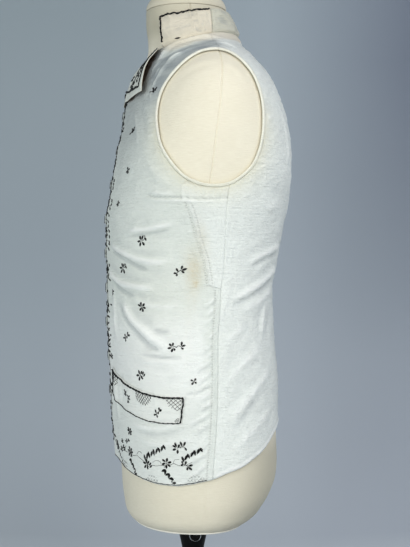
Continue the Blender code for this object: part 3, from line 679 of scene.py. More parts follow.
def relief(angle, z, side=1):
    """How far the cloth stands off its plain surface, in mm. side is 1 on the wearer's left and -1 on the right."""
    angle, z = np.broadcast_arrays(np.asarray(angle, float), np.asarray(z, float))
    shape = angle.shape
    angle, z = angle.reshape(-1), z.reshape(-1)
    p = flat(angle, z)
    s, m = p[:, 0], p[:, 1]
    behind = flat(np.full(z.shape, 180.0), z)[:, 0] - s
    at = p.copy()
    strength = np.ones(len(z))
    if side < 0:  # the hidden side has like folds in other places, the same along the centre lines
        free = step_up((np.abs(s) - 18.0) / 40.0) * step_up((behind - 12.0) / 40.0)
        at[:, 0] += free * (9.0 * ripple(s, m, 74.0, 5) + 4.0)
        at[:, 1] += free * (11.0 * ripple(s, m, 82.0, 6) - 5.0)
        strength += free * 0.35 * ripple(s, m, 90.0, 7)
    up = np.zeros(len(z))
    for height, width, fade, line in FOLD_LINES:
        gap, share = to_line(at, line, 3.0 * width)
        hit = np.abs(gap) < 3.0 * width
        if not hit.any():
            continue
        ends = step_up(share[hit] / fade) * step_up((1 - share[hit]) / fade)
        gain = 1.75 if height > 0 else 1.5
        up[hit] += gain * height * ends * np.exp(-((gap[hit] / width) ** 2)) * strength[hit]
    up += 0.55 * ripple(at[:, 0], at[:, 1], 46.0, 11) + 0.28 * ripple(at[:, 0], at[:, 1], 19.0, 12)
    up += 0.10 * ripple(at[:, 0] * 0.35, at[:, 1], 6.5, 13)
    # fine creases, which run up and back on the back and nearly level on the front
    rear = step_up((at[:, 0] - 205.0) / 40.0)
    slope = 0.10 + 0.42 * rear
    along_crease, across_crease = at[:, 0] + slope * at[:, 1], at[:, 1] - slope * at[:, 0]
    up += 0.6 * ((1 - np.abs(ripple(along_crease / 3.0, across_crease, 13.0, 14))) ** 5 - 0.15)
    up += (0.36 + 0.2 * rear) * ((1 - np.abs(ripple(along_crease / 2.6, across_crease, 7.0, 15))) ** 4 - 0.2)

    near_arm, _ = to_line(p, ARMHOLE_LINE, 30.0)
    up *= 0.12 + 0.88 * step_up((np.abs(near_arm) - 0.6) / 5.0)
    hem = z - hem_height(angle)
    up *= 0.55 + 0.45 * step_up(hem / 16.0)
    up *= 0.45 + 0.55 * step_up((np.abs(s) - 6.0) / 18.0)

    # seams
    seam_z = np.clip(z, 262.0, 628.0)
    d = s - flat(*side_seam(seam_z).T)[:, 0]
    low = (z < 630.0).astype(float)
    up -= low * 0.42 * np.exp(-((d / 0.9) ** 2))
    up += low * 0.32 * np.exp(-(((d + 1.8) / 1.1) ** 2))
    up -= low * 0.52 * np.exp(-(((d + 3.7) / 0.8) ** 2)) * step_up((500.0 - z) / 10.0)
    up -= low * 0.32 * np.exp(-(((d + 7.2) / 1.2) ** 2)) * step_up((502.0 - z) / 10.0)
    wedge = step_up((z - 503.0) / 6.0) * low
    d2 = s - flat(*insert_front(np.clip(z, 505.6, 636.0)).T)[:, 0]
    up -= wedge * 0.24 * np.exp(-(((d2 - 4.6) / 1.1) ** 2)) * step_up((606.0 - z) / 4.0)
    gap, _ = to_line(p, BAND_LINE, 6.0)
    up -= 2.4 * np.exp(-((gap / 0.95) ** 2))
    up -= 0.6 * np.exp(-((behind / 1.1) ** 2))
    # the turned hem, stitched a little above the edge
    up += 0.8 * np.exp(-(((hem - 2.6) / 2.0) ** 2)) - 0.75 * np.exp(-(((hem - 6.1) / 0.9) ** 2))
    return np.maximum(up, FOLD_LOW).reshape(shape)


def cover(angle, z, out=0.0, side=1):
    """A point on the outer face of the panels, in mm. The left front lies over the right one."""
    angle, z = np.broadcast_arrays(np.asarray(angle, float), np.asarray(z, float))
    lift = CLOTH + relief(angle, z, side) + (lap(angle, z) if side > 0 else 0.0)
    point = place(angle, z, lift + out)
    return point if side > 0 else point * np.array([-1.0, 1.0, 1.0])


# ---------------------------------------------------------------- meshes


def new_piece(name, points, faces, material, replaces=(), data=None, smooth=True, turn=None):
    """A mesh object from points in mm. data holds vectors for each point, by name."""
    points = np.asarray(points, float)
    mesh = bpy.data.meshes.new(name)
    sizes = np.array([len(f) for f in faces])
    corners = np.concatenate([np.asarray(f, int) for f in faces]) if not isinstance(faces, np.ndarray) else faces.reshape(-1)
    starts = np.concatenate([[0], np.cumsum(sizes)[:-1]])
    mesh.vertices.add(len(points))
    mesh.vertices.foreach_set("co", (points * MM).astype(np.float32).reshape(-1))
    mesh.loops.add(len(corners))
    mesh.loops.foreach_set("vertex_index", corners.astype(np.int32))
    mesh.polygons.add(len(sizes))
    mesh.polygons.foreach_set("loop_start", starts.astype(np.int32))
    mesh.update(calc_edges=True)
    mesh.validate()
    body = bmesh.new()
    body.from_mesh(mesh)
    bmesh.ops.recalc_face_normals(body, faces=body.faces)
    body.to_mesh(mesh)
    body.free()
    for key, values in (data or {}).items():
        made = mesh.attributes.new(key, "FLOAT_VECTOR", "POINT")
        made.data.foreach_set("vector", np.asarray(values, np.float32).reshape(-1))
    mesh.polygons.foreach_set("use_smooth", np.full(len(mesh.polygons), smooth))
    if turn:
        mesh.set_sharp_from_angle(angle=math.radians(turn))
    mesh.materials.append(material)
    obj = bpy.data.objects.new(name, mesh)
    bpy.context.scene.collection.objects.link(obj)
    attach(obj, "root")
    if replaces:
        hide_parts(*replaces)
    return obj


def quads(rows, columns, start=0, wrap=False):
    r = np.arange(rows - 1)[:, None]
    c = np.arange(columns if wrap else columns - 1)[None, :]
    n = (c + 1) % columns
    a = r * columns + c
    b = r * columns + n
    return (np.stack([a, b, b + columns, a + columns], axis=-1) + start).reshape(-1, 4)


def rim_indices(rows, columns):
    """The border of a grid, once round."""
    return (
        [c for c in range(columns)]
        + [r * columns + columns - 1 for r in range(1, rows)]
        + [(rows - 1) * columns + c for c in range(columns - 2, -1, -1)]
        + [r * columns for r in range(rows - 2, 0, -1)]
    )


def inward(rows, columns):
    """For each border point the next point into the grid."""
    found = []
    for index in rim_indices(rows, columns):
        r, c = divmod(index, columns)
        r2 = 1 if r == 0 else rows - 2 if r == rows - 1 else r
        c2 = 1 if c == 0 else columns - 2 if c == columns - 1 else c
        found.append(r2 * columns + c2)
    return found


def shell(name, outer, inner, material, replaces=(), stride=4, data=None, bulge=0.04, lining=None):
    """A closed sheet: a fine outer face, a soft turned edge, and a coarser inner face.

    outer and inner are grids of the same size, in mm. Only every stride-th point of inner is used.
    """
    rows, columns = outer.shape[:2]
    top = outer.reshape(-1, 3).copy()
    rim = np.array(rim_indices(rows, columns))
    into = np.array(inward(rows, columns))
    away = top[rim] - top[into]
    away /= np.linalg.norm(away, axis=1, keepdims=True) + 1e-9
    under = inner.reshape(-1, 3)[rim]
    edge = 0.5 * (top[rim] + under) + away * bulge
    top[rim] = top[rim] * 0.96 + under * 0.04
    low = inner[::stride, ::stride]
    low_rows, low_columns = low.shape[:2]
    low_rim = np.array(rim_indices(low_rows, low_columns))
    points = np.concatenate([top, edge, low.reshape(-1, 3)])
    e0, l0 = len(top), len(top) + len(edge)
    faces = [tuple(f) for f in quads(rows, columns)]
    count = len(rim)
    for i in range(count):
        j = (i + 1) % count
        faces.append((rim[i], e0 + i, e0 + j, rim[j]))
    low_faces = quads(low_rows, low_columns, l0)[:, ::-1]
    faces += [tuple(f) for f in low_faces]
    for k in range(len(low_rim)):
        fan = [e0 + (k * stride + t) % count for t in range(stride + 1)]
        faces.append((*fan[::-1], l0 + low_rim[k], l0 + low_rim[(k + 1) % len(low_rim)]))
    held = {}
    for key, values in (data or {}).items():
        flat_values = values.reshape(-1, 3)
        held[key] = np.concatenate([flat_values, flat_values[rim], values[::stride, ::stride].reshape(-1, 3)])
    made = new_piece(name, points, faces, material, replaces, held)
    if lining:
        made.data.materials.append(lining)
        inside = len(quads(rows, columns)) + count
        index = (np.arange(len(made.data.polygons)) >= inside).astype(np.int32)
        made.data.polygons.foreach_set("material_index", index)
    return made


def lowest_near(values, reach):
    """The least value within reach grid steps."""
    out = values.copy()
    for _ in range(reach):
        padded = np.pad(out, 1, mode="edge")
        out = np.min([padded[1:-1, 1:-1], padded[:-2, 1:-1], padded[2:, 1:-1], padded[1:-1, :-2], padded[1:-1, 2:]], axis=0)
    return out


def patch(bottom, top, left, right, u):
    """A grid through four edges. Rows run from bottom to top, columns from left to right."""
    v = np.linspace(0, 1, len(left))[:, None, None]
    u = u[None, :, None]
    corners = (1 - u) * (1 - v) * bottom[0] + u * (1 - v) * bottom[-1] + (1 - u) * v * top[0] + u * v * top[-1]
    return (1 - v) * bottom[None] + v * top[None] + (1 - u) * left[:, None] + u * right[:, None] - corners


def steps(keys, counts):
    values = [np.linspace(a, b, n + 1)[:-1] for a, b, n in zip(keys, keys[1:], counts)]
    return np.append(np.concatenate(values), keys[-1])


def between(a, b, count):
    """count - 1 points inside the straight line from a to b."""
    t = np.linspace(0, 1, count + 1)[1:-1, None]
    return a * (1 - t) + b * t


def spread(count, ends=0.35):
    """Column places from 0 to 1, closer together near both ends."""
    t = np.linspace(0, 1, count)
    return t - ends * np.sin(2 * np.pi * t) / (2 * np.pi)


# ---------------------------------------------------------------- panels

SEAM = 0.04  # from a seam line to the edge of each piece there
SHOULDER_ROW = neck_row(SHOULDER_SEAM)


def shoulder(u, side):
    low = neck(SHOULDER_ROW)[1] + 0.6
    top = armhole_edge(np.array([0.0]))[0]
    z = low * (1 - u) + top[1] * u
    turn = SHOULDER_SEAM * (1 - u) + top[0] * u
    y = torso(turn, z)[:, 1] + side * SEAM * 1.2
    return np.stack([angle_at_y(y, z), z], axis=-1)


def front_grid(fine, columns, edge=-LAP_WIDTH):
    n = [k * fine for k in (3, 8, 1, 6, 2, 6, 5, 5)]
    u = spread(columns)
    low = side_seam(steps((float(hem_height(91.0)), 336.0, 500.5), n[:2]), -SEAM)
    high = insert_front(steps((505.0, 604.5, 628.0), n[3:5]), -SEAM)
    arm = armhole_edge(np.linspace(ARMHOLE_FRONT_CORNER, 0.0, 16 * fine + 1))
    high[-1] = arm[0]
    right = np.concatenate([low, between(low[-1], high[0], n[2]), high, arm[1:]])
    corner = float(hem_height(angle_at_x(edge, 290.0)))
    z = steps((corner, 336.0, 496.0, 510.0, 590.0, 618.0, 742.0), n[:6])
    low = np.stack([angle_at_x(np.full(z.shape, edge), z), z], axis=-1)
    top_part = neck(np.linspace(0, SHOULDER_ROW, n[7] + 1)) + np.array([0, 0.6])
    middle = roll(steps((742.0, 807.4), n[6:7]))
    left = np.concatenate([low, middle[1:], top_part[1:]])
    turn = left[0, 0] * (1 - u) + right[0, 0] * u
    bottom = np.stack([turn, hem_height(turn)], axis=-1)
    bottom[0], bottom[-1] = left[0], right[0]
    top = shoulder(u, -1)
    left[-1], right[-1] = top[0], top[-1]
    return patch(bottom, top, left, right, u)


def back_grid(fine, columns):
    n = [k * fine for k in (8, 5, 9, 7)]
    u = spread(columns)
    low = side_seam(steps((float(hem_height(91.0)), 500.5, 625.0), n[:2]), SEAM)
    arm = armhole_edge(np.linspace(ARMHOLE_SIDE_SEAM, len(ARMHOLE), 16 * fine + 1))
    low[-1] = arm[0]
    right = np.concatenate([low, arm[1:]])
    z = steps((float(hem_height(180.0)), 505.0, 628.0, 832.0), n[:3])
    low = np.stack([angle_at_x(np.full(z.shape, SEAM), z, back=True), z], axis=-1)
    top_part = neck(np.linspace(len(NECK) - 1, SHOULDER_ROW, n[3] + 1)) + np.array([0, 0.6])
    left = np.concatenate([low, top_part[1:]])
    turn = left[0, 0] * (1 - u) + right[0, 0] * u
    bottom = np.stack([turn, hem_height(turn)], axis=-1)
    bottom[0], bottom[-1] = left[0], right[0]
    top = shoulder(u, 1)
    left[-1], right[-1] = top[0], top[-1]
    return patch(bottom, top, left, right, u)


def insert_grid(fine):
    z = steps((505.0, 604.5, 628.0), (6 * fine, 2 * fine))
    u = np.linspace(0, 1, 5 * fine + 1)
    left = insert_front(z + 0.05, SEAM)
    top = armhole_edge(np.linspace(ARMHOLE_FRONT_CORNER, ARMHOLE_SIDE_SEAM, len(u)))
    right = side_seam(np.linspace(500.56, 625.0, len(z)), -SEAM)
    top[0] = np.stack([angle_at_y(place(*top[0])[1] + 0.4, top[0, 1]), top[0, 1]])
    top[-1] = np.stack([angle_at_y(place(*top[-1])[1] - 0.4, top[-1, 1]), top[-1, 1]])
    left[-1], right[-1] = top[0], top[-1]
    bottom = left[0] * (1 - u[:, None]) + right[0] * u[:, None]
    return patch(bottom, top, left, right, u)


STITCH_PITCH = 3.1


def cloth_data(angle, z, side=1, warm=0.0):
    """For the cloth's material: where a point is on the flat cloth, how it is stained, where light and shade are
    painted on it, and how far it is from the nearest row of stitches.
    """
    p = flat(angle, z)
    s, m = p[..., 0], p[..., 1]
    weave = np.stack([s * side, m, np.zeros_like(s)], axis=-1)
    shape = angle.shape
    # stains: tan beside the insert, yellow round the armhole, and a warm band just under the neck seam
    tan = np.exp(-(((s - flat(84.0, 517.0)[0]) / 9.0) ** 2) - (((m - 22.0) / 20.0) ** 2)) * 0.55
    tan += 0.9 * np.exp(-(((s - flat(85.5, 505.0)[0]) / 2.6) ** 2) - (((m - 8.0) / 4.0) ** 2))
    tan += 0.45 * np.exp(-(((s - flat(88.0, 560.0)[0]) / 8.0) ** 2) - (((m - 66.0) / 22.0) ** 2))
    streak = np.exp(-(((s - flat(82.0, 460.0)[0]) / 8.0) ** 2)) * step_up((m + 115.0) / 60.0) * step_up((30.0 - m) / 40.0)
    tan += 0.3 * streak * (0.6 + 0.4 * ripple(s * 2.0, m * 0.4, 8.0, 93))
    tan += 0.5 * np.exp(-(((s - flat(85.0, 530.0)[0]) / 13.0) ** 2) - (((m - 30.0) / 26.0) ** 2))
    gap, _ = to_line(p.reshape(-1, 2), ARMHOLE_LINE, 60.0)
    yellow = np.exp(-((np.abs(gap) / 15.0) ** 1.2)).reshape(shape) * step_up((760.0 - z) / 80.0)
    yellow = np.maximum(yellow, 0.2 * np.exp(-(((m + 40) / 90.0) ** 2)) * np.exp(-(((s - 150.0) / 50.0) ** 2)))
    neck_z = np.interp(angle, table(NECK, NECK_COLUMNS, "angle"), table(NECK, NECK_COLUMNS, "z"))
    grey = 1.0 * np.exp(-(((neck_z - z - 5.0) / 7.5) ** 4)) * step_up((angle - 33.0) / 5.0)
    tone = np.stack([tan if side > 0 else tan * 0.35, yellow, grey + warm], axis=-1)
    # rows of stitches
    seam_z = np.clip(z, 262.0, 628.0)
    d = s - flat(*side_seam(seam_z.reshape(-1)).T)[:, 0].reshape(shape)
    d2 = s - flat(*insert_front(np.clip(z, 505.6, 604.0).reshape(-1)).T)[:, 0].reshape(shape)
    row = np.where(z < 502.0, d + 7.2, 99.0)
    row = np.where((z > 504.0) & (z < 606.0) & (np.abs(d2 + 2.6) < 9.0), d2 + 2.6, row)
    row = np.where((z > 504.0) & (z < 606.0) & (np.abs(d2 - 4.6) < 3.0), d2 - 4.6, row)
    hem = z - hem_height(angle)
    row = np.where((hem < 12.0) & (angle > 92.0), 99.0, row)
    run = m
    stitch = np.stack([row, run / STITCH_PITCH, np.zeros(shape)], axis=-1)
    return {"weave": weave, "tone": tone, "stitch": stitch, "shade": shades(angle, z, s, m)}


def shades(angle, z, s, m):
    """Painted light and shade, and the paler turned hem at the back: painted light on the lower front, painted grey
    shade on the shoulder, the upper chest and the lower back, clear of a band just under the neck, and painted brown
    shade under the revers.
    """
    hem = z - hem_height(angle)
    pale = step_up((5.6 - hem) / 0.8) * step_up((angle - 92.0) / 3.0)
    # painted light: the lower front is painted paler, less so low down
    pale = np.maximum(pale, 0.85 * step_up((500.0 - z) / 70.0) * (1 - 0.55 * step_up((400.0 - z) / 60.0)) * step_up((94.0 - angle) / 8.0))
    neck_z = np.where(angle > 38.5, np.interp(angle, table(NECK, NECK_COLUMNS, "angle"), table(NECK, NECK_COLUMNS, "z")), 842.0)
    below = neck_z - z
    clear = np.interp(angle, (30.0, 37.0, 50.0, 61.0, 78.0, 96.0), (16.0, 19.0, 14.0, 11.0, 10.0, 10.0))
    # painted shade: grey on the shoulder and upper chest, clear of a band just under the neck, and on the lower back
    # near centre back
    grey = step_up((z - 688.0) / 82.0) * step_up((below - clear) / 6.0) * step_up((104.0 - angle) / 14.0)
    grey = grey * (0.8 + 0.2 * ripple(s * 0.4, m, 9.0, 91))
    grey = np.maximum(grey, 0.55 * step_up((z - 610.0) / 130.0) * step_up((60.0 - angle) / 40.0))
    grey = np.maximum(grey, 0.3 * step_up((angle - 144.0) / 28.0) * step_up((640.0 - z) / 60.0))
    # painted shade: brown on the front panel under the revers, where its shadow falls
    edge = np.interp(z, (741.0, 748.5, 760.5, 775.0, 789.0, 800.0, 808.0), (15.0, 26.0, 30.0, 31.3, 31.6, 30.0, 28.0))
    brown = step_up((edge - angle) / 1.1) * step_up((z - 741.0) / 3.0)
    return np.stack([pale, grey, brown], axis=-1)


def hollow(up, reach):
    """How far each point of a grid of heights lies below the mean of those round it, in mm."""
    mean = np.pad(up, reach * 2, mode="edge")
    size = 2 * reach + 1
    for axis in (0, 1):
        for _ in range(2):
            total = np.cumsum(np.insert(mean, 0, 0.0, axis=axis), axis=axis)
            mean = (np.take(total, range(size, total.shape[axis]), axis=axis) - np.take(total, range(total.shape[axis] - size), axis=axis)) / size
    return mean - up


def add_panel(name, grid, side, material, stride=4, lapped=False, thick=1.25, floor=-1.75):
    angle, z = grid[..., 0], grid[..., 1]
    up = relief(angle, z, side)
    lift = lap(angle, z) if lapped else 0.0
    outer = place(angle, z, CLOTH + up + lift)
    data = cloth_data(angle, z, side)
    # painted shade in the hollows of the folds and painted highlight on their ridges: the material reads this height
    # below the neighbours' mean
    data["stitch"][..., 2] = hollow(up, 4)
    low = np.maximum(lowest_near(up, stride) + CLOTH - thick, floor)
    inner = place(angle, z, low + lift)
    if side < 0:
        flip = np.array([-1.0, 1.0, 1.0])
        outer, inner = outer * flip, inner * flip
    return shell(f"{name}_{'left' if side > 0 else 'right'}_cloth", outer, inner, material, (f"{name}_{'left' if side > 0 else 'right'}",), stride, data)


# ---------------------------------------------------------------- collar, revers, welts, bindings


def normals_of(grid):
    along_rows = np.gradient(grid, axis=0)
    along_columns = np.gradient(grid, axis=1)
    n = np.cross(along_rows, along_columns)
    return n / (np.linalg.norm(n, axis=-1, keepdims=True) + 1e-9)


def unit(v):
    return v / (np.linalg.norm(v, axis=-1, keepdims=True) + 1e-9)


def collar_point(at, height):
    """A point of the collar's middle surface: row of the tables, and 0 at the neck seam to 1 at the top edge."""
    at, height = np.broadcast_arrays(np.asarray(at, float), np.asarray(height, float))
    low = neck(at)
    base = place(low[..., 0], low[..., 1], np.full(at.shape, COLLAR_OUT))
    top = np.stack([along(table(COLLAR_TOP, COLLAR_TOP_COLUMNS, k), at) for k in "xyz"], axis=-1)
    bulge = np.sin(np.pi * height)[..., None] * 0.8
    side = top - np.array([0.0, -4.0, 0.0])
    side[..., 2] = 0
    side = unit(side)
    return base + (top - base) * height[..., None] + side * bulge


def collar_normal(at, height):
    du = collar_point(np.minimum(at + 0.02, 8.0), height) - collar_point(np.maximum(at - 0.02, 0.0), height)
    dv = collar_point(at, np.asarray(height) + 0.02) - collar_point(at, np.asarray(height) - 0.02)
    n = unit(np.cross(du, dv))
    middle = collar_point(at, height)
    outside = middle - np.array([0.0, -4.0, 0.0])
    outside[..., 2] = 0
    return n * np.sign(np.sum(n * outside, axis=-1, keepdims=True))


def collar(at, height, out=0.0, side=1):
    """A point on the collar's outer face."""
    at, height = np.broadcast_arrays(np.asarray(at, float), np.asarray(height, float))
    up = collar_relief(at, height, side)
    tuck = -1.4 * (1 - step_up(height / 0.10)) ** 2
    point = collar_point(at, height) + collar_normal(at, height) * (COLLAR_WALL / 2 + up + tuck + out)[..., None]
    return point if side > 0 else point * np.array([-1.0, 1.0, 1.0])


def collar_relief(at, height, side=1):
    """The collar's wrinkles, in mm."""
    run, rise = at * 17.0, height * 36.0
    up = 0.9 * ripple(run, rise, 13.0, 21 + (side < 0)) + 0.4 * ripple(run * 0.5, rise, 6.0, 23)
    up += 1.0 * ((1 - np.abs(ripple(run + 0.3 * rise, rise * 0.3, 9.0, 25 + (side < 0)))) ** 5 - 0.15)
    up += 0.8 * ((1 - np.abs(ripple(run * 0.3, rise - 0.15 * run, 8.0, 27))) ** 5 - 0.15)
    up += 0.5 * np.exp(-(((height - 0.62 + 0.05 * np.sin(at * 2.1)) / 0.07) ** 2)) * np.sin(np.pi * np.clip(at / 4.2, 0, 1)) * (at < 4.2)
    up -= 0.5 * np.exp(-(((at - COLLAR_SEAM) * 17.0 / 1.0) ** 2))
    up += 0.3 * np.exp(-(((at - COLLAR_SEAM + 0.11) * 17.0 / 1.2) ** 2))
    up -= 0.35 * np.exp(-((behind_collar(at) / 1.1) ** 2))
    return up * step_up(height / 0.12) * step_up((1.04 - height) / 0.08)


def behind_collar(at):
    return (8.0 - at) * 12.0


def collar_piece(name, first, last, columns, side, material, replaces, warm):
    rows = 25
    at, height = np.meshgrid(np.linspace(first, last, columns), np.linspace(-0.035, 1.0, rows), indexing="xy")
    outer = collar(at, height, 0.0, side)
    inner = collar(at, height, -COLLAR_WALL, side)
    s, m = at * 17.0 * side, height * 36.0 + 900.0
    data = {
        "weave": np.stack([s, m, np.zeros_like(s)], axis=-1),
        "tone": np.stack([0.15 * (height < 0.2), np.full_like(s, 0.0), np.full_like(s, warm)], axis=-1),
        # painted shade in the hollows of the wrinkles
        "stitch": np.stack([(height - 0.93) * 36.0, s / STITCH_PITCH, np.maximum(2.4 * hollow(collar_relief(at, height, side), 3), -0.3)], axis=-1),
    }
    return shell(name, outer, inner, material, replaces, 4, data)


def collar_back(material):
    rows, half = 25, 33
    at = np.linspace(COLLAR_SEAM + 0.018, 8.0, half)
    at, height = np.meshgrid(at, np.linspace(-0.035, 1.0, rows), indexing="xy")
    flip = np.array([-1.0, 1.0, 1.0])
    outer = collar(at, height)
    inner = collar(at, height, -COLLAR_WALL)
    join = lambda g: np.concatenate([g, (g * (flip if g.shape[-1] == 3 else 1.0))[:, -2::-1]], axis=1)
    s, m = at * 17.0, height * 36.0 + 900.0
    s = np.concatenate([s, (272.0 - s)[:, -2::-1]], axis=1)
    m = np.concatenate([m, m[:, -2::-1]], axis=1)
    data = {
        "weave": np.stack([s, m, np.zeros_like(s)], axis=-1),
        "tone": np.stack([np.zeros_like(s), np.full_like(s, 0.35), np.zeros_like(s)], axis=-1),
        # painted shade in the hollows of the wrinkles
        "stitch": np.stack([(m - 933.5), s / STITCH_PITCH, np.maximum(2.4 * hollow(join(collar_relief(at, height)[..., None])[..., 0], 3), -0.3)], axis=-1),
    }
    return shell("collar_back_cloth", join(outer), join(inner), material, ("collar_back",), 4, data)


REVERS_RISE = 8.0  # how much further the outer edge stands off


def revers_ground(v):
    """Roll line and outer edge at v, 0 at the lower edge to 1 at the collar."""
    at = (1 - np.asarray(v, float)) * (len(REVERS) - 1)
    inner = roll(along(table(REVERS, REVERS_COLUMNS, "roll_z"), at))
    outer = np.stack([along(table(REVERS, REVERS_COLUMNS, k), at) for k in ("outer_angle", "outer_z")], axis=-1)
    return inner, outer


def revers(u, v, out=0.0, side=1):
    """A point on the face of a revers: u 0 at the roll to 1 at the outer edge."""
    u, v = np.broadcast_arrays(np.asarray(u, float), np.asarray(v, float))
    inner, outer = revers_ground(v)
    c = np.clip(u, 0, 1)
    grid = inner * (1 - c[..., None]) + outer * c[..., None]
    angle, z = grid[..., 0], grid[..., 1] - 0.4 * REVERS_POINT_DROP * (1 - v) ** 2 * np.sin(np.pi * c)
    rise = 2.4 + CLOTH + REVERS_RISE * (1 - 0.6 * v**3) * c**1.3
    rise = rise + 0.45 * ripple(c * 34.0, v * 60.0, 14.0, 31 + (side < 0)) * c
    wrap = np.clip(-u, 0, 1)  # the roll itself, round behind the edge
    radius = 0.5 * (2.4 + CLOTH)
    rise = rise - radius * (1 - np.cos(np.pi * wrap))
    point = place(angle, z, rise + lap(angle, z) + out * np.cos(np.pi * wrap))
    around = torso(angle + 0.5, z) - torso(angle - 0.5, z)
    around = unit(around)
    point = point - around * ((radius * 0.9 + out) * np.sin(np.pi * wrap))[..., None]
    return point if side > 0 else point * np.array([-1.0, 1.0, 1.0])


def add_revers(side, material):
    rows = 49
    u = np.concatenate([np.linspace(-0.85, 0, 8, endpoint=False), np.linspace(0, 1, 33)])
    v = np.linspace(0, 1, rows)
    grid = revers(u[None, :], v[:, None], 0.0, side)
    back = revers(u[None, :], v[:, None], -1.15, side)
    run = np.broadcast_to(u[None, :] * 34.0, grid.shape[:2])
    rise = np.broadcast_to(v[:, None] * 60.0, grid.shape[:2])
    data = {
        "weave": np.stack([run, rise + 700.0, np.zeros_like(run)], axis=-1),
        "tone": np.stack([np.zeros_like(run), np.full_like(run, 0.15), np.full_like(run, 0.12)], axis=-1),
        "stitch": np.broadcast_to((99.0, 99.0, 0.0), (*run.shape, 3)),
    }
    name = "left" if side > 0 else "right"
    # the underside is painted dark brown, as shade
    return shell(f"revers_{name}_cloth", grid, back, material, (f"revers_{name}",), 4, data, lining=REVERS_UNDERSIDE_SHADE)


def welt_ground(u, v):
    """Angle and height on a pocket welt: u 0 at its front end to 1 at its back end, v 0 at the lower edge to 1 at the top."""
    at = np.asarray(u, float) * (len(WELT) - 1)
    turn = along(table(WELT, WELT_COLUMNS, "angle"), at)
    top = along(table(WELT, WELT_COLUMNS, "top"), at)
    low = along(table(WELT, WELT_COLUMNS, "bottom"), at)
    slant = (1.6 * np.asarray(v, float) - 1.1 * (1 - np.asarray(v, float))) * np.clip(np.asarray(u, float), 0, 1) ** 6
    return turn + slant, low * (1 - v) + top * v


def welt(u, v, out=0.0, side=1):
    u, v = np.broadcast_arrays(np.asarray(u, float), np.asarray(v, float))
    angle, z = welt_ground(u, v)
    near_edge = np.minimum(np.minimum(v, 1 - v) * 34.0, np.minimum(u, 1 - u) * 150.0)
    up = 1.75 + 0.35 * step_up(near_edge / 7.0) + 0.25 * ripple(u * 140.0, v * 34.0, 17.0, 51 + (side < 0))
    return cover(angle, z, up + out, side)


def add_welt(side, material):
    columns, rows = 121, 33
    u, v = np.meshgrid(np.linspace(0, 1, columns), np.linspace(0, 1, rows), indexing="xy")
    outer = welt(u, v, 0.0, side)
    inner = welt(u, v, -1.2, side)
    angle, z = welt_ground(u, v)
    p = flat(angle, z)
    data = {
        "weave": np.stack([p[..., 0] * side, p[..., 1] + 500.0, np.zeros_like(u)], axis=-1),
        "tone": np.stack([np.zeros_like(u), np.full_like(u, 0.05), np.full_like(u, 0.06)], axis=-1),
        "shade": np.stack([np.full_like(u, 0.6), np.zeros_like(u), np.zeros_like(u)], axis=-1),
        "stitch": np.broadcast_to((99.0, 99.0, 0.0), (*u.shape, 3)),
    }
    name = "left" if side > 0 else "right"
    return shell(f"welt_{name}_cloth", outer, inner, material, (f"welt_{name}",), 4, data)


def tube_faces(count, sides, closed=True):
    faces = []
    for i in range(count if closed else count - 1):
        j = (i + 1) % count
        for k in range(sides):
            m = (k + 1) % sides
            faces.append((i * sides + k, j * sides + k, j * sides + m, i * sides + m))
    return faces


def add_binding(side, material):
    count, sides = 420, 14
    at = np.linspace(0, len(ARMHOLE), count, endpoint=False)
    middle, normal, away = armhole_frame(at)
    run = np.concatenate([[0], np.cumsum(np.linalg.norm(np.diff(middle, axis=0), axis=1))])
    swell = 0.16 * ripple(run, run * 0, 11.0, 61 + (side < 0)) + 0.10 * ripple(run, run * 0, 3.6, 63)
    turn = np.linspace(0, 2 * math.pi, sides, endpoint=False)
    wide = (BINDING_RADIUS + 0.05 + swell)[:, None, None]
    tall = (BINDING_RADIUS - 0.2 + swell * 0.6)[:, None, None]
    rings = middle[:, None] + tall * np.cos(turn)[None, :, None] * normal[:, None] + wide * np.sin(turn)[None, :, None] * away[:, None]
    if side < 0:
        rings = rings * np.array([-1.0, 1.0, 1.0])
    s = np.broadcast_to(run[:, None], (count, sides))
    t = np.broadcast_to((turn * BINDING_RADIUS)[None, :], (count, sides))
    y = middle[:, 2]
    yellow = np.broadcast_to((0.25 + 0.55 * step_up((700.0 - y) / 90.0))[:, None], (count, sides))
    data = {
        "weave": np.stack([t, s, np.zeros_like(s)], axis=-1).reshape(-1, 3),
        "tone": np.stack([np.zeros_like(s), yellow, np.full_like(s, 0.05)], axis=-1).reshape(-1, 3),
        "stitch": np.broadcast_to((99.0, 99.0, 0.0), (count * sides, 3)),
    }
    name = "left" if side > 0 else "right"
    return new_piece(f"binding_{name}_roll", rings.reshape(-1, 3), tube_faces(count, sides), material, (f"binding_{name}",), data)


# ---------------------------------------------------------------- buttons, form and stand


def button_seat(i):
    z = BUTTON_TOP - BUTTON_STEP * i
    return z, CLOTH + LAP + 0.2


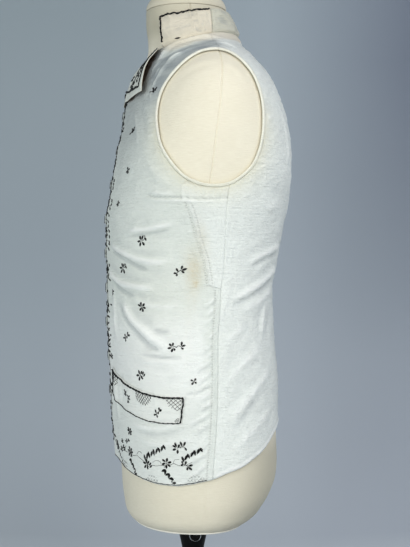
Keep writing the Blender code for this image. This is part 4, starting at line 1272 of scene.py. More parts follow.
def add_button(i, material):
    z, out = button_seat(i)
    seat = place(np.array(0.0), np.array(z), np.array(out))
    normal = outward(0.0, z)
    side = np.array([1.0, 0.0, 0.0])
    up = np.cross(normal, side)
    profile = ((0.0, 0.0), (4.0, 0.0), (6.2, 0.04), (6.75, 0.2), (6.95, 0.45), (6.75, 0.72), (6.1, 0.95), (4.6, 1.14), (2.6, 1.27), (0.0, 1.32))
    sides = 40
    turn = np.linspace(0, 2 * math.pi, sides, endpoint=False)
    points = [seat]
    for r, h in profile[1:-1]:
        pleat = 1 + 0.012 * np.sin(turn * 11 + i) * (h < 0.7)
        points.extend(seat + normal * h + r * pleat[:, None] * (np.cos(turn)[:, None] * side + np.sin(turn)[:, None] * up))
    points.append(seat + normal * profile[-1][1])
    points = np.array(points)
    rings = len(profile) - 2
    faces = [(0, 1 + (k + 1) % sides, 1 + k) for k in range(sides)]
    for j in range(rings - 1):
        for k in range(sides):
            m = (k + 1) % sides
            a = 1 + j * sides
            faces.append((a + k, a + m, a + sides + m, a + sides + k))
    last = 1 + (rings - 1) * sides
    faces += [(last + k, last + (k + 1) % sides, len(points) - 1) for k in range(sides)]
    flat_x = (points - seat) @ side
    flat_y = (points - seat) @ up
    data = {
        "weave": np.stack([flat_x, flat_y + 40.0 * i, np.zeros(len(points))], axis=-1),
        "tone": np.tile([0.0, 0.0, 0.0], (len(points), 1)),
        "stitch": np.broadcast_to((99.0, 99.0, 0.0), (len(points), 3)),
    }
    return new_piece(f"button_{i + 1}_covered", points, faces, material, (f"button_{i + 1}",), data)


FORM_FOLDS = (  # soft drags in the form's own cover: height, width, fade, line
    (1.0, 3.0, 0.35, ((55.5, 757.0), (62.0, 768.0), (70.0, 774.5), (84.3, 777.0))),
    (-0.9, 2.6, 0.35, ((58.0, 752.0), (65.0, 762.0), (74.0, 768.5), (86.0, 771.0))),
    (0.95, 2.8, 0.35, ((93.0, 776.0), (101.4, 768.0), (106.0, 756.0), (109.0, 742.0))),
    (-0.85, 2.4, 0.35, ((92.0, 770.0), (99.0, 761.0), (103.0, 748.0))),
    (0.35, 6.0, 0.4, ((70.0, 735.0), (84.0, 728.0), (99.0, 735.0))),
)


def form_out(angle, z):
    """The form's surface, outside its plain shape."""
    turned = np.abs(angle)
    p = flat(turned, z)
    s, m = p[..., 0], p[..., 1]
    seam = flat(np.full(z.shape, 88.6) + 0.012 * np.clip(z - 620, -20, 180), z)[..., 0]
    d = s - seam
    low = 0.2 + 0.8 * step_up((z - 420.0) / 60.0)  # the seam shows less on the lower body
    up = -0.95 * low * np.exp(-((d / 0.75) ** 2)) + 0.34 * low * np.exp(-(((np.abs(d) - 2.1) / 1.2) ** 2))
    behind = flat(np.full(z.shape, 180.0), z)[..., 0] - s
    up += -0.55 * np.exp(-((behind / 0.9) ** 2))
    for height, width, fade, line in FORM_FOLDS:
        path = flat(*curve_through(np.array(line), 6).T)
        gap, share = to_line(p.reshape(-1, 2), path, 3 * width)
        gap, share = gap.reshape(s.shape), share.reshape(s.shape)
        up += np.where(np.abs(gap) < 3 * width, height * step_up(share / fade) * step_up((1 - share) / fade) * np.exp(-((gap / width) ** 2)), 0)
    up += 0.14 * ripple(s * np.sign(angle + 1e-9), m, 31.0, 71)
    across = np.exp(-(((z - 713.0) / 1.2) ** 2)) * step_up((13.0 - np.abs(d)) / 7.0)
    up -= 0.8 * across
    return up


def build_form(material, plain):
    side = 88.6 + np.concatenate([np.arange(-3.2, 3.21, 0.22)])
    low = np.concatenate([np.arange(0.0, 84.5, 2.1), side, np.arange(93.6, 176.5, 2.1), np.arange(177.4, 179.9, 0.5)])
    turn = np.concatenate([low, [180.0], 360.0 - low[:0:-1]])
    columns = len(turn)
    z = np.unique(
        np.concatenate(
            [
                np.array([196.0, 196.6, 197.5, 198.8, 200.5, 202.5, 205.0, 208.0, 211.5, 215.5, 220.0]),
                np.arange(224.0, 300.0, 3.4),
                np.arange(300.0, 600.0, 8.0),
                np.arange(600.0, 812.0, 2.6),
                np.arange(812.0, 868.0, 2.4),
                np.array([866.0, 867.4, 868.0]),
            ]
        )
    )
    angle = np.where(turn > 180, turn - 360, turn)
    t = step_up((z - 826) / 26)
    inset = -FORM_INSET * (1 - t)
    rings = []
    for height, out in zip(z, inset):
        level = np.array([1, 1, 0 if height < 219 else 1])
        clear = np.full(columns, np.clip(height, 199, 866))
        fine = form_out(angle, np.full(columns, float(np.clip(height, 205, 866)))) * (0.0 if height < 200 else 1.0)
        rim = -0.7 * step_up((height - 866.5) / 1.5)
        rings.append(torso(angle, np.full(columns, height)) + outward(angle, clear) * level * (out + fine + rim)[:, None])
    rings = np.array(rings)
    count = len(rings)
    middle = np.array([0.0, -3.0, 196.0])
    low = [middle + (rings[0] - middle) * f for f in (0.32, 0.62, 0.88)]
    for ring in low:
        ring[:, 2] = 196.0
    top_middle = np.array([0.0, -9.0, 868.0])
    high = [top_middle + (rings[-1] - top_middle) * f for f in (0.9, 0.5)]
    for ring in high:
        ring[:, 2] = 868.0
    everything = np.array([*low, *rings, *high])
    total = len(everything)
    faces = [tuple(range(columns))[::-1], tuple((total - 1) * columns + k for k in range(columns))]
    faces += [tuple(f) for f in quads(total, columns, 0, wrap=True)]
    heights = np.concatenate([np.full(len(low), 196.0), z, np.full(len(high), 868.0)])
    a = np.broadcast_to(angle[None, :], (total, columns))
    h = np.broadcast_to(heights[:, None], (total, columns))
    p = flat(np.abs(a), h)
    weave = np.stack([p[..., 0] * np.sign(a + 1e-9), p[..., 1], np.zeros(p.shape[:2])], axis=-1)
    tone = np.zeros((total, columns, 3))
    # the neck is darker, most at its front
    tone[..., 2] = step_up((h - 812) / 30.0) * (0.75 + 0.35 * step_up((60.0 - np.abs(a)) / 30.0))
    # painted shade: the lower body is darker, most towards its back
    lower = step_up((330.0 - h) / 40.0)
    tone[..., 2] = np.maximum(tone[..., 2], lower * (0.2 + 0.75 * step_up((np.abs(a) - 86.0) / 56.0)))
    new_piece("form_cover_body", everything.reshape(-1, 3), faces, material, ("form_body",), {"weave": weave.reshape(-1, 3), "tone": tone.reshape(-1, 3)})

    # piping round the bottom edge
    sides = 10
    at = np.linspace(0, 360, 240, endpoint=False)
    a = np.where(at > 180, at - 360, at)
    line = torso(a, np.full(len(a), 200.2)) + outward(a, np.full(len(a), 204.0)) * np.array([1, 1, 0]) * (-FORM_INSET + 0.15)
    normal = outward(a, np.full(len(a), 204.0)) * np.array([1, 1, 0])
    normal = unit(normal)
    up = np.array([0.0, 0.0, 1.0])
    ring = np.linspace(0, 2 * math.pi, sides, endpoint=False)
    rings = line[:, None] + 1.45 * (np.cos(ring)[None, :, None] * normal[:, None] + np.sin(ring)[None, :, None] * up)
    weave = np.zeros((len(a), sides, 3))
    weave[..., 0] = at[:, None] * 2.2
    weave[..., 1] = (ring * 1.2)[None, :]
    new_piece("form_cover_piping", rings.reshape(-1, 3), tube_faces(len(a), sides), plain, (), {"weave": weave.reshape(-1, 3), "tone": np.zeros((len(a) * sides, 3))})


def turned(name, profile, sides, at, material, slot, replaces=(), axis="Z", data=False, turn_sharp=38, flutes=None):
    """A turned piece with closed ends from columns of radius and height."""
    spin = np.linspace(0, 2 * math.pi, sides, endpoint=False)
    rings = []
    for radius, height in profile:
        r = np.full(sides, float(radius))
        if flutes and radius > flutes[1]:
            r = r * (1 - flutes[2] * (0.5 + 0.5 * np.cos(spin * flutes[0])))
        rings.append(np.stack([r * np.cos(spin), r * np.sin(spin), np.full(sides, height)], axis=-1))
    rings = np.array(rings)
    if axis == "X":
        rings = rings[..., [2, 0, 1]]
        points = rings + np.array([at[0], 0.0, at[1]])
    else:
        points = rings + np.array([at[0], at[1], 0.0])
    count = len(rings)
    faces = [tuple(range(sides))[::-1], tuple((count - 1) * sides + k for k in range(sides))]
    faces += [tuple(f) for f in quads(count, sides, 0, wrap=True)]
    held = None
    if data:
        run = np.broadcast_to((spin * profile[0][0])[None, :], (count, sides))
        length = np.concatenate([[0], np.cumsum(np.linalg.norm(np.diff(np.array(profile), axis=0), axis=1))])
        rise = np.broadcast_to(length[:, None], (count, sides))
        held = {
            "weave": np.stack([run, rise + 380.0, np.zeros_like(run)], axis=-1).reshape(-1, 3),
            "tone": np.tile([0.0, 0.0, 0.6], (count * sides, 1)),
        }
    return new_piece(name, points.reshape(-1, 3), faces, material, replaces, held, turn=turn_sharp)


def rounded(profile, radius=0.8, bend=4):
    """The profile with its inner corners rounded."""
    p = [np.array(q, float) for q in profile]
    out = [p[0]]
    for a, b, c in zip(p, p[1:], p[2:]):
        r = min(radius, 0.45 * np.linalg.norm(b - a), 0.45 * np.linalg.norm(c - b))
        start, end = b + (a - b) / np.linalg.norm(a - b) * r, b + (c - b) / np.linalg.norm(c - b) * r
        for t in np.linspace(0, 1, bend):
            out.append((1 - t) ** 2 * start + 2 * t * (1 - t) * b + t * t * end)
    out.append(p[-1])
    return out


def build_stand(cover_material, black, chrome):
    cap = [(10.0, 868.5), *[(float(r), float(z)) for r, z in smooth_profile(CAP)]]
    turned("form_cap_cover", cap, 96, (0.0, -9.0), cover_material, "form_cover", ("form_cap",), data=True, turn_sharp=60)
    turned("stand_socket_moulded", rounded(SOCKET, 1.2, 5), 72, (0.0, 0.0), black, "black_plastic", ("stand_socket",))
    foot = [(2.0, 0.0), *FOOT]
    turned("stand_foot_turned", rounded(foot, 2.2, 6), 120, (0.0, 0.0), black, "black_plastic", ("stand_foot",))
    ring = ((3.4, 0.0), (3.4, 5.0), (7.0, 5.3), (7.9, 6.3), (7.9, 12.2), (7.5, 13.2), (7.05, 13.3), (6.8, 12.7), (6.7, 9.0), (3.0, 8.9))
    turned("stand_knob_chromed", rounded(ring, 0.35, 4), 96, (KNOB_FROM, KNOB_HEIGHT), chrome, "chrome", ("stand_knob",), axis="X", flutes=(24, 7.3, 0.03))
    middle = ((4.0, 9.1), (6.5, 9.3), (6.5, 12.0), (5.9, 12.5), (4.0, 12.3), (3.0, 11.5), (1.4, 11.4))
    turned("stand_knob_middle", rounded(middle, 0.25, 3), 64, (KNOB_FROM, KNOB_HEIGHT), black, "black_plastic", (), axis="X")


def smooth_profile(profile):
    p = curve_through(np.array(profile, float), 6)
    p[:, 0] = np.clip(p[:, 0], 1.0, 53.1)
    p[:, 1] = np.clip(p[:, 1], 868.5, 892.95)
    return p


# ---------------------------------------------------------------- needlework

MIRROR = np.array([-1.0, 1.0, 1.0])


def on_panel(angle, z, out, side):
    point = cover(angle, z, out, side)
    normal = outward(angle, z)
    return point, normal if side > 0 else normal * MIRROR


def panel_scale(angle, z):
    a = np.linalg.norm(torso(angle + 0.5, z) - torso(angle - 0.5, z))
    b = np.linalg.norm(torso(angle, z + 0.5) - torso(angle, z - 0.5))
    return float(a), float(b)


def on_border(x, z, out, side):
    """Close to centre front: mm from the centre line, and height."""
    return on_panel(angle_at_x(x, z), z, out, side)


def on_welt(x, y, out, side):
    u, v = np.asarray(x) / 140.0, np.asarray(y) / 34.0
    angle, z = welt_ground(u, v)
    normal = outward(angle, z)
    return welt(u, v, out, side), normal if side > 0 else normal * MIRROR


def on_collar(x, y, out, side):
    at, height = np.asarray(x) / 17.0, np.asarray(y) / 36.0
    normal = collar_normal(at, height)
    return collar(at, height, out, side), normal if side > 0 else normal * MIRROR


def on_revers(x, y, out, side):
    u, v = np.asarray(x) / 34.0, np.asarray(y) / 60.0
    point = revers(u, v, out, side)
    return point, unit(revers(u, v, np.asarray(out) + 1.0, side) - point)


def on_button(i):
    z, out = button_seat(i)
    seat = place(np.array(0.0), np.array(z), np.array(out))
    normal = outward(0.0, z)
    across = np.array([1.0, 0.0, 0.0])
    up = np.cross(normal, across)

    def surface(x, y, out, side):
        r = np.hypot(x, y)
        high = 1.32 - 0.25 * (r / 6.0) ** 2.4 + out
        point = seat + np.asarray(x)[..., None] * across + np.asarray(y)[..., None] * up + high[..., None] * normal
        return point, np.broadcast_to(normal, point.shape)

    return surface


def plain_scale(a, b):
    return 1.0, 1.0


class Needlework:
    """Threads laid on a surface, gathered here and then made into one mesh.

    The surface gives points and normals for two coordinates. The scale is the mm in one step of each.
    """

    def __init__(self, surface, scale, side):
        self.surface, self.scale, self.side = surface, scale, side
        self.groups = {}

    def line(self, places, out=0.25, radius=0.25, sides=4, lobes=0, twist=0.0):
        places = np.asarray(places, float)
        count = len(places)
        held = self.groups.setdefault((count, sides, lobes, twist), [])
        held.append((places, np.broadcast_to(out, (count,)).astype(float), np.broadcast_to(radius, (count,)).astype(float)))

    def near(self, at, points):
        a, b = self.scale(*at)
        return np.stack([at[0] + points[:, 0] / a, at[1] + points[:, 1] / b], axis=-1)

    def leaf(self, at, x, y, turn, length, width, pitch=0.46, wide=1.0, bold=1.0):
        """A leaf in satin stitch. It starts x, y mm from a place and points turn degrees round from upright."""
        wide = np.array([wide, 1.0])
        t = math.radians(turn)
        way, across = np.array([math.sin(t), math.cos(t)]), np.array([math.cos(t), -math.sin(t)])
        for share in np.arange(pitch * 0.5, length, pitch) / length:
            half = 0.5 * width * max(math.sin(math.pi * share**0.85), 0.0) ** 0.7 - 0.1
            half = max(half, 0.12)
            c = np.array([x, y]) + way * share * length
            lean = way * half * 0.6
            points = np.array([c - across * half + lean, c, c + across * half + lean])
            points = np.array([x, y]) + (points - np.array([x, y])) * wide
            self.line(self.near(at, points), np.array((0.12, 0.44, 0.12)) * bold, np.array((0.20, 0.30, 0.20)) * bold)

    def knot(self, at, x, y, size=0.55):
        """A French knot: two turns of thread."""
        t = np.linspace(0, 4 * math.pi, 13)
        r = size * (0.75 - 0.02 * t)
        points = np.stack([x + r * np.cos(t), y + r * np.sin(t)], axis=-1)
        self.line(self.near(at, points), 0.15 + 0.045 * t, 0.26)

    def stem(self, at, points, radius=0.22, step=0.8, out=0.18, straight=False):
        points = np.array(points, float)
        line = points if straight else curve_through(points, 8)
        self.line(self.near(at, resample(line, step)), out, radius, 4, 0, 0.0)

    def cord(self, places, radius=0.9, out=0.75, ring=0.62, wobble=0.25, seed=1, sides=8, straight=False):
        """A two-ply cord, couched along a line of places."""
        places = np.array(places, float)
        line = places if straight else curve_through(places, 10)
        point, _ = self.surface(line[:, 0], line[:, 1], np.zeros(len(line)), self.side)
        run = np.concatenate([[0], np.cumsum(np.linalg.norm(np.diff(point, axis=0), axis=1))])
        count = max(int(run[-1] / ring), 4)
        at = np.linspace(0, run[-1], count)
        line = np.stack([np.interp(at, run, line[:, 0]), np.interp(at, run, line[:, 1])], axis=-1)
        a, b = self.scale(*line[len(line) // 2])
        way = np.gradient(line * np.array([a, b]), axis=0)
        way /= np.linalg.norm(way, axis=1, keepdims=True) + 1e-9
        off = wobble * (ripple(at, at * 0, 5.2, seed) + 0.6 * ripple(at, at * 0, 2.3, seed + 1))
        line = line + np.stack([-way[:, 1] * off / a, way[:, 0] * off / b], axis=-1)
        thick = radius * (1 + 0.13 * ripple(at, at * 0, 4.1, seed + 2))
        thick[0] *= 0.5
        thick[-1] *= 0.5
        self.line(line, out, thick, sides, 2, 0.62)

    def net(self, at, half_wide, deep, pitch=4.4, radius=0.2, up=False, quarter=False, seed=3, edged=True):
        """Crossed threads in a half round that hangs from a line, and stitches round its lower edge."""
        sign = 1.0 if up else -1.0
        reach = half_wide + deep
        steps_at = np.arange(0, 2 * reach, 0.5) - reach
        for lean in (1.0, -1.0):
            for k in np.arange(-reach, reach, pitch):
                x, y = steps_at + k, lean * steps_at
                inside = ((x / half_wide) ** 2 + (y / deep) ** 2 < 1.0) & (y * sign > 0.0)
                if quarter:
                    inside &= x < 0.0
                found = np.flatnonzero(inside)
                if len(found) < 4:
                    continue
                count = max(int(len(found) * 0.5 * 1.42 / 1.6), 2) + 1
                t = np.linspace(found[0], found[-1], count)
                points = np.stack([np.interp(t, np.arange(len(x)), x), np.interp(t, np.arange(len(x)), y)], axis=-1)
                points += 0.22 * np.random.default_rng(seed + int(k * 7) % 97).uniform(-1, 1, points.shape)
                self.line(self.near(at, points), 0.16 + 0.05 * lean, radius)
        if edged:
            turn = np.linspace(0.5 * math.pi if quarter else 0.0, math.pi, 26 if quarter else 44)
            bumps = 1.0 + 0.06 * np.abs(np.sin(turn * (half_wide / 1.5)))
            edge = np.stack([half_wide * bumps * np.cos(turn), sign * deep * bumps * np.sin(turn)], axis=-1)
            self.line(self.near(at, edge), 0.22, radius)

    def stitches(self, places, pitch, length, radius=0.3, out=0.12):
        """A row of running stitches along a line of places."""
        places = np.array(places, float)
        point, _ = self.surface(places[:, 0], places[:, 1], np.zeros(len(places)), self.side)
        run = np.concatenate([[0], np.cumsum(np.linalg.norm(np.diff(point, axis=0), axis=1))])
        for start in np.arange(pitch * 0.5, run[-1] - length, pitch):
            t = np.array([start, start + length * 0.5, start + length])
            line = np.stack([np.interp(t, run, places[:, 0]), np.interp(t, run, places[:, 1])], axis=-1)
            self.line(line, (out - 0.12, out + 0.12, out - 0.12), (radius * 0.7, radius, radius * 0.7))

    def build(self, name, material):
        points, faces, start = [], [], 0
        for (count, sides, lobes, twist), runs in self.groups.items():
            at = np.array([r[0] for r in runs])
            out = np.array([r[1] for r in runs])
            radius = np.array([r[2] for r in runs])
            middle, normal = self.surface(at[..., 0], at[..., 1], out, self.side)
            way = unit(np.gradient(middle, axis=1))
            normal = unit(normal - way * np.sum(normal * way, axis=-1, keepdims=True))
            across = np.cross(way, normal)
            turn = np.arange(sides) * 2 * math.pi / sides + math.pi / sides
            shape = np.ones((count, sides))
            if lobes:
                shape += 0.24 * np.cos(lobes * turn[None, :] + twist * np.arange(count)[:, None])
            r = radius[:, :, None] * shape[None]
            p = middle[:, :, None] + (r * np.cos(turn))[..., None] * normal[:, :, None] + (r * np.sin(turn))[..., None] * across[:, :, None]
            points.append(p.reshape(-1, 3))
            first = start + np.arange(len(runs)) * count * sides
            body = np.array(tube_faces(count, sides, closed=False))
            faces += [tuple(f) for f in (first[:, None, None] + body[None]).reshape(-1, 4)]
            cap = np.arange(sides)
            faces += [tuple(f) for f in first[:, None] + cap[::-1][None]]
            faces += [tuple(f) for f in first[:, None] + (count - 1) * sides + cap[None]]
            start += len(runs) * count * sides
        return new_piece(name, np.concatenate(points), faces, material)


def resample(line, step):
    run = np.concatenate([[0], np.cumsum(np.linalg.norm(np.diff(line, axis=0), axis=1))])
    count = max(int(run[-1] / step), 2) + 1
    t = np.linspace(0, run[-1], count)
    return np.stack([np.interp(t, run, line[:, 0]), np.interp(t, run, line[:, 1])], axis=-1)


# ---------------------------------------------------------------- sprigs

# Each kind of sprig: leaves as (x, y, turn, length, width) and stems as lists of points, for a sprig 10 mm across.
KINDS = {
    "star": (
        ((-0.5, 0.6, -28, 4.2, 1.9), (0.7, 0.8, 22, 4.0, 1.8), (1.1, 0.0, 78, 3.6, 1.7), (0.7, -0.9, 138, 3.8, 1.8), (-0.6, -0.8, 205, 4.1, 1.8), (-1.1, 0.1, 268, 3.7, 1.8)),
        (((0.0, 0.0), (1.6, -2.6), (1.2, -4.8)),),
    ),
    "hook": (
        ((-0.6, 0.7, -35, 4.0, 1.8), (0.5, 0.9, 12, 3.8, 1.7), (0.7, -0.8, 140, 4.2, 1.9), (-0.5, -0.8, 200, 3.8, 1.8), (-1.0, 0.0, 262, 3.6, 1.7), (3.6, 3.2, 150, 3.0, 1.5)),
        (((1.0, 0.4), (2.8, 1.2), (3.6, 3.2), (2.7, 4.7)),),
    ),
    "fan": (
        ((0.8, 0.8, 15, 3.6, 1.7), (1.4, 0.3, 68, 4.2, 1.8), (1.0, -0.3, 120, 3.0, 1.6), (-1.6, -1.2, -38, 3.4, 1.7), (-3.2, -2.4, 268, 2.6, 1.5), (-2.6, -2.6, 190, 2.6, 1.5)),
        (((-3.8, -3.2), (-1.8, -1.4), (1.0, 0.3)),),
    ),
    "double": (
        ((-4.0, 0.2, -45, 3.4, 1.7), (-3.2, 0.6, 8, 3.0, 1.6), (-4.2, -0.8, 262, 3.2, 1.7), (-3.4, -1.4, 190, 3.6, 1.8), (-2.5, -1.0, 140, 2.8, 1.6), (4.6, 0.8, 12, 3.6, 1.7), (4.8, 0.2, 62, 3.2, 1.6), (4.2, -0.4, 130, 2.6, 1.5)),
        (((-3.4, -0.4), (-1.4, 0.5), (0.2, -0.5), (2.0, 1.2), (4.2, 0.3)),),
    ),
    "dashes": (
        ((-1.6, 0.6, -30, 3.8, 1.8), (-0.6, 0.7, 20, 3.8, 1.7), (-2.0, -0.3, 255, 3.6, 1.8), (-1.4, -1.0, 195, 4.0, 1.8), (-0.4, -0.8, 128, 3.4, 1.7), (1.9, 0.6, 22, 3.6, 1.5), (3.4, -0.6, 28, 3.4, 1.4)),
        (((-1.0, 0.0), (0.8, -0.8), (2.2, -0.2)),),
    ),
    "small": (
        ((-0.4, 0.5, -22, 3.2, 1.7), (0.6, 0.2, 62, 3.0, 1.6), (0.4, -0.6, 150, 3.2, 1.6), (-0.6, -0.3, 238, 2.9, 1.6)),
        (((0.0, 0.0), (0.6, -2.4), (0.0, -3.8)),),
    ),
    "pair": (
        ((-2.2, -1.0, -25, 3.2, 1.6), (-2.6, -1.8, 250, 2.8, 1.5), (-1.8, -2.2, 165, 2.6, 1.5), (1.6, 1.2, 62, 3.4, 1.8), (1.2, 1.8, 8, 2.8, 1.6), (0.9, 0.6, 200, 2.2, 1.4)),
        (((-2.6, -2.8), (-1.2, -0.8), (1.4, 1.2)),),
    ),
    "streak": (
        ((-0.6, -2.2, 232, 3.0, 1.6), (0.2, -1.2, 48, 3.2, 1.7), (0.2, 0.6, 305, 3.0, 1.6), (1.0, 1.9, 62, 3.4, 1.6), (1.4, 3.0, 22, 3.2, 1.6)),
        (((-1.6, -4.0), (-0.2, -1.4), (0.6, 1.0), (1.5, 3.2)),),
    ),
    "twin": (
        ((-4.4, 0.4, -52, 3.0, 1.7), (-3.6, 0.9, -8, 3.8, 1.8), (-2.6, 0.4, 40, 3.2, 1.7), (-4.0, -0.7, 250, 3.2, 1.7), (-2.8, -1.2, 190, 3.4, 1.8), (1.6, 1.0, -12, 4.6, 1.7), (2.8, 1.2, 30, 4.2, 1.6), (3.6, 0.2, 148, 3.0, 1.5)),
        (((-3.2, -0.2), (-0.6, 0.6), (1.8, 0.6), (3.4, 0.4)),),
    ),
}


def sprig(work, at, size, turn, kind, seed, wide=1.0):
    size = size * 1.22
    rng = np.random.default_rng(seed)
    leaves, stems = KINDS[kind]
    scale = size / 10.0
    t = math.radians(turn)
    c, s = math.cos(t), math.sin(t)

    def moved(x, y):
        x, y = x * scale, y * scale
        return (x * c + y * s) * wide, -x * s + y * c

    for x, y, way, length, width in leaves:
        x, y = moved(x, y)
        work.leaf(at, x + rng.uniform(-0.15, 0.15), y + rng.uniform(-0.15, 0.15), way + turn + rng.uniform(-7, 7), length * scale * 1.12 * rng.uniform(0.9, 1.1), width * 1.4 * min(scale + 0.1, 1.2), wide=wide)
    for points in stems:
        work.stem(at, [moved(x, y) for x, y in points], 0.4, out=0.3)
    work.knot(at, 0.0, 0.0, 0.5)


def spray(work, places, count, length, width, turns, seed, stem=0.17, upright=False):
    """A branch: leaves that lean two ways in turn, along a thin stem through a line of places.

    turns are degrees round from the way the branch runs, or from upright, for every other leaf.
    """
    rng = np.random.default_rng(seed)
    line = curve_through(np.array(places, float), 8)
    at = tuple(line[0])
    a, b = work.scale(*line[len(line) // 2])
    flat_line = (line - line[0]) * np.array([a, b])
    run = np.concatenate([[0], np.cumsum(np.linalg.norm(np.diff(flat_line, axis=0), axis=1))])

    def spot(t):
        return np.array([np.interp(t, run, flat_line[:, 0]), np.interp(t, run, flat_line[:, 1])])

    scale_at = work.scale(*at)
    fix = np.array([scale_at[0] / a, scale_at[1] / b])
    for k, t in enumerate(np.linspace(0.04, 0.98, count) * run[-1]):
        here = spot(t)
        way = spot(min(t + 1.0, run[-1])) - spot(max(t - 1.0, 0.0))
        along_way = 0.0 if upright else math.degrees(math.atan2(way[0], way[1]))
        turn = along_way + turns[k % 2] + rng.uniform(-7, 7)
        grow = (1.0 - 0.22 * k / count) * rng.uniform(0.9, 1.1)
        lead = np.array([math.sin(math.radians(turn)), math.cos(math.radians(turn))]) * length * grow * 0.42
        start = here * fix - lead
        work.leaf(at, start[0], start[1], turn, length * grow, width * rng.uniform(0.9, 1.1))
    work.stem(at, flat_line * fix, stem, 1.2, straight=True)


# ---------------------------------------------------------------- materials


def linear(r, g, b):
    """A colour as seen on screen, from 0 to 255, to scene values."""
    return tuple((c / 255 / 12.92) if c / 255 <= 0.04045 else ((c / 255 + 0.055) / 1.055) ** 2.4 for c in (r, g, b))


class Nodes:
    """A short way to write a material's node tree."""

    def __init__(self, name):
        self.material = bpy.data.materials.new(name)
        self.material.use_nodes = True
        self.tree = self.material.node_tree
        self.tree.nodes.clear()
        self.out = self.tree.nodes.new("ShaderNodeOutputMaterial")
        self.shader = self.tree.nodes.new("ShaderNodeBsdfPrincipled")
        self.tree.links.new(self.shader.outputs[0], self.out.inputs[0])

    def put(self, socket, value):
        if isinstance(value, bpy.types.NodeSocket):
            self.tree.links.new(value, socket)
        elif isinstance(value, tuple) and len(value) == 3 and socket.type == "RGBA":
            socket.default_value = (*value, 1.0)
        else:
            socket.default_value = value

    def set(self, **values):
        for key, value in values.items():
            self.put(self.shader.inputs[key.replace("_", " ")], value)

    def attribute(self, name):
        node = self.tree.nodes.new("ShaderNodeAttribute")
        node.attribute_type = "GEOMETRY"
        node.attribute_name = name
        return node.outputs["Vector"]

    def object_place(self):
        return self.tree.nodes.new("ShaderNodeTexCoord").outputs["Object"]

    def math(self, operation, a, b=0.0, c=0.0, clamp=False):
        node = self.tree.nodes.new("ShaderNodeMath")
        node.operation = operation
        node.use_clamp = clamp
        for socket, value in zip(node.inputs, (a, b, c)):
            self.put(socket, value)
        return node.outputs[0]

    def vector(self, operation, a, b):
        node = self.tree.nodes.new("ShaderNodeVectorMath")
        node.operation = operation
        self.put(node.inputs[0], a)
        self.put(node.inputs[1], b)
        return node.outputs[0]

    def parts(self, vector):
        node = self.tree.nodes.new("ShaderNodeSeparateXYZ")
        self.put(node.inputs[0], vector)
        return node.outputs[0], node.outputs[1], node.outputs[2]

    def noise(self, vector, scale=1.0, detail=2.0, rough=0.5, distort=0.0):
        node = self.tree.nodes.new("ShaderNodeTexNoise")
        self.put(node.inputs["Vector"], vector)
        node.inputs["Scale"].default_value = scale
        node.inputs["Detail"].default_value = detail
        node.inputs["Roughness"].default_value = rough
        node.inputs["Distortion"].default_value = distort
        return node.outputs[0]

    def ramp(self, value, low, high, to_low=0.0, to_high=1.0):
        node = self.tree.nodes.new("ShaderNodeMapRange")
        node.inputs["From Min"].default_value = low
        node.inputs["From Max"].default_value = high
        node.inputs["To Min"].default_value = to_low
        node.inputs["To Max"].default_value = to_high
        self.put(node.inputs["Value"], value)
        return node.outputs[0]

    def mix(self, share, a, b):
        node = self.tree.nodes.new("ShaderNodeMix")
        node.data_type = "RGBA"
        self.put(node.inputs[0], share)
        self.put(node.inputs[6], a)
        self.put(node.inputs[7], b)
        return node.outputs[2]

    def bump(self, height, strength, distance, below=None):
        node = self.tree.nodes.new("ShaderNodeBump")
        node.inputs["Strength"].default_value = strength
        node.inputs["Distance"].default_value = distance
        self.put(node.inputs["Height"], height)
        if below is not None:
            self.put(node.inputs["Normal"], below)
        return node.outputs[0]


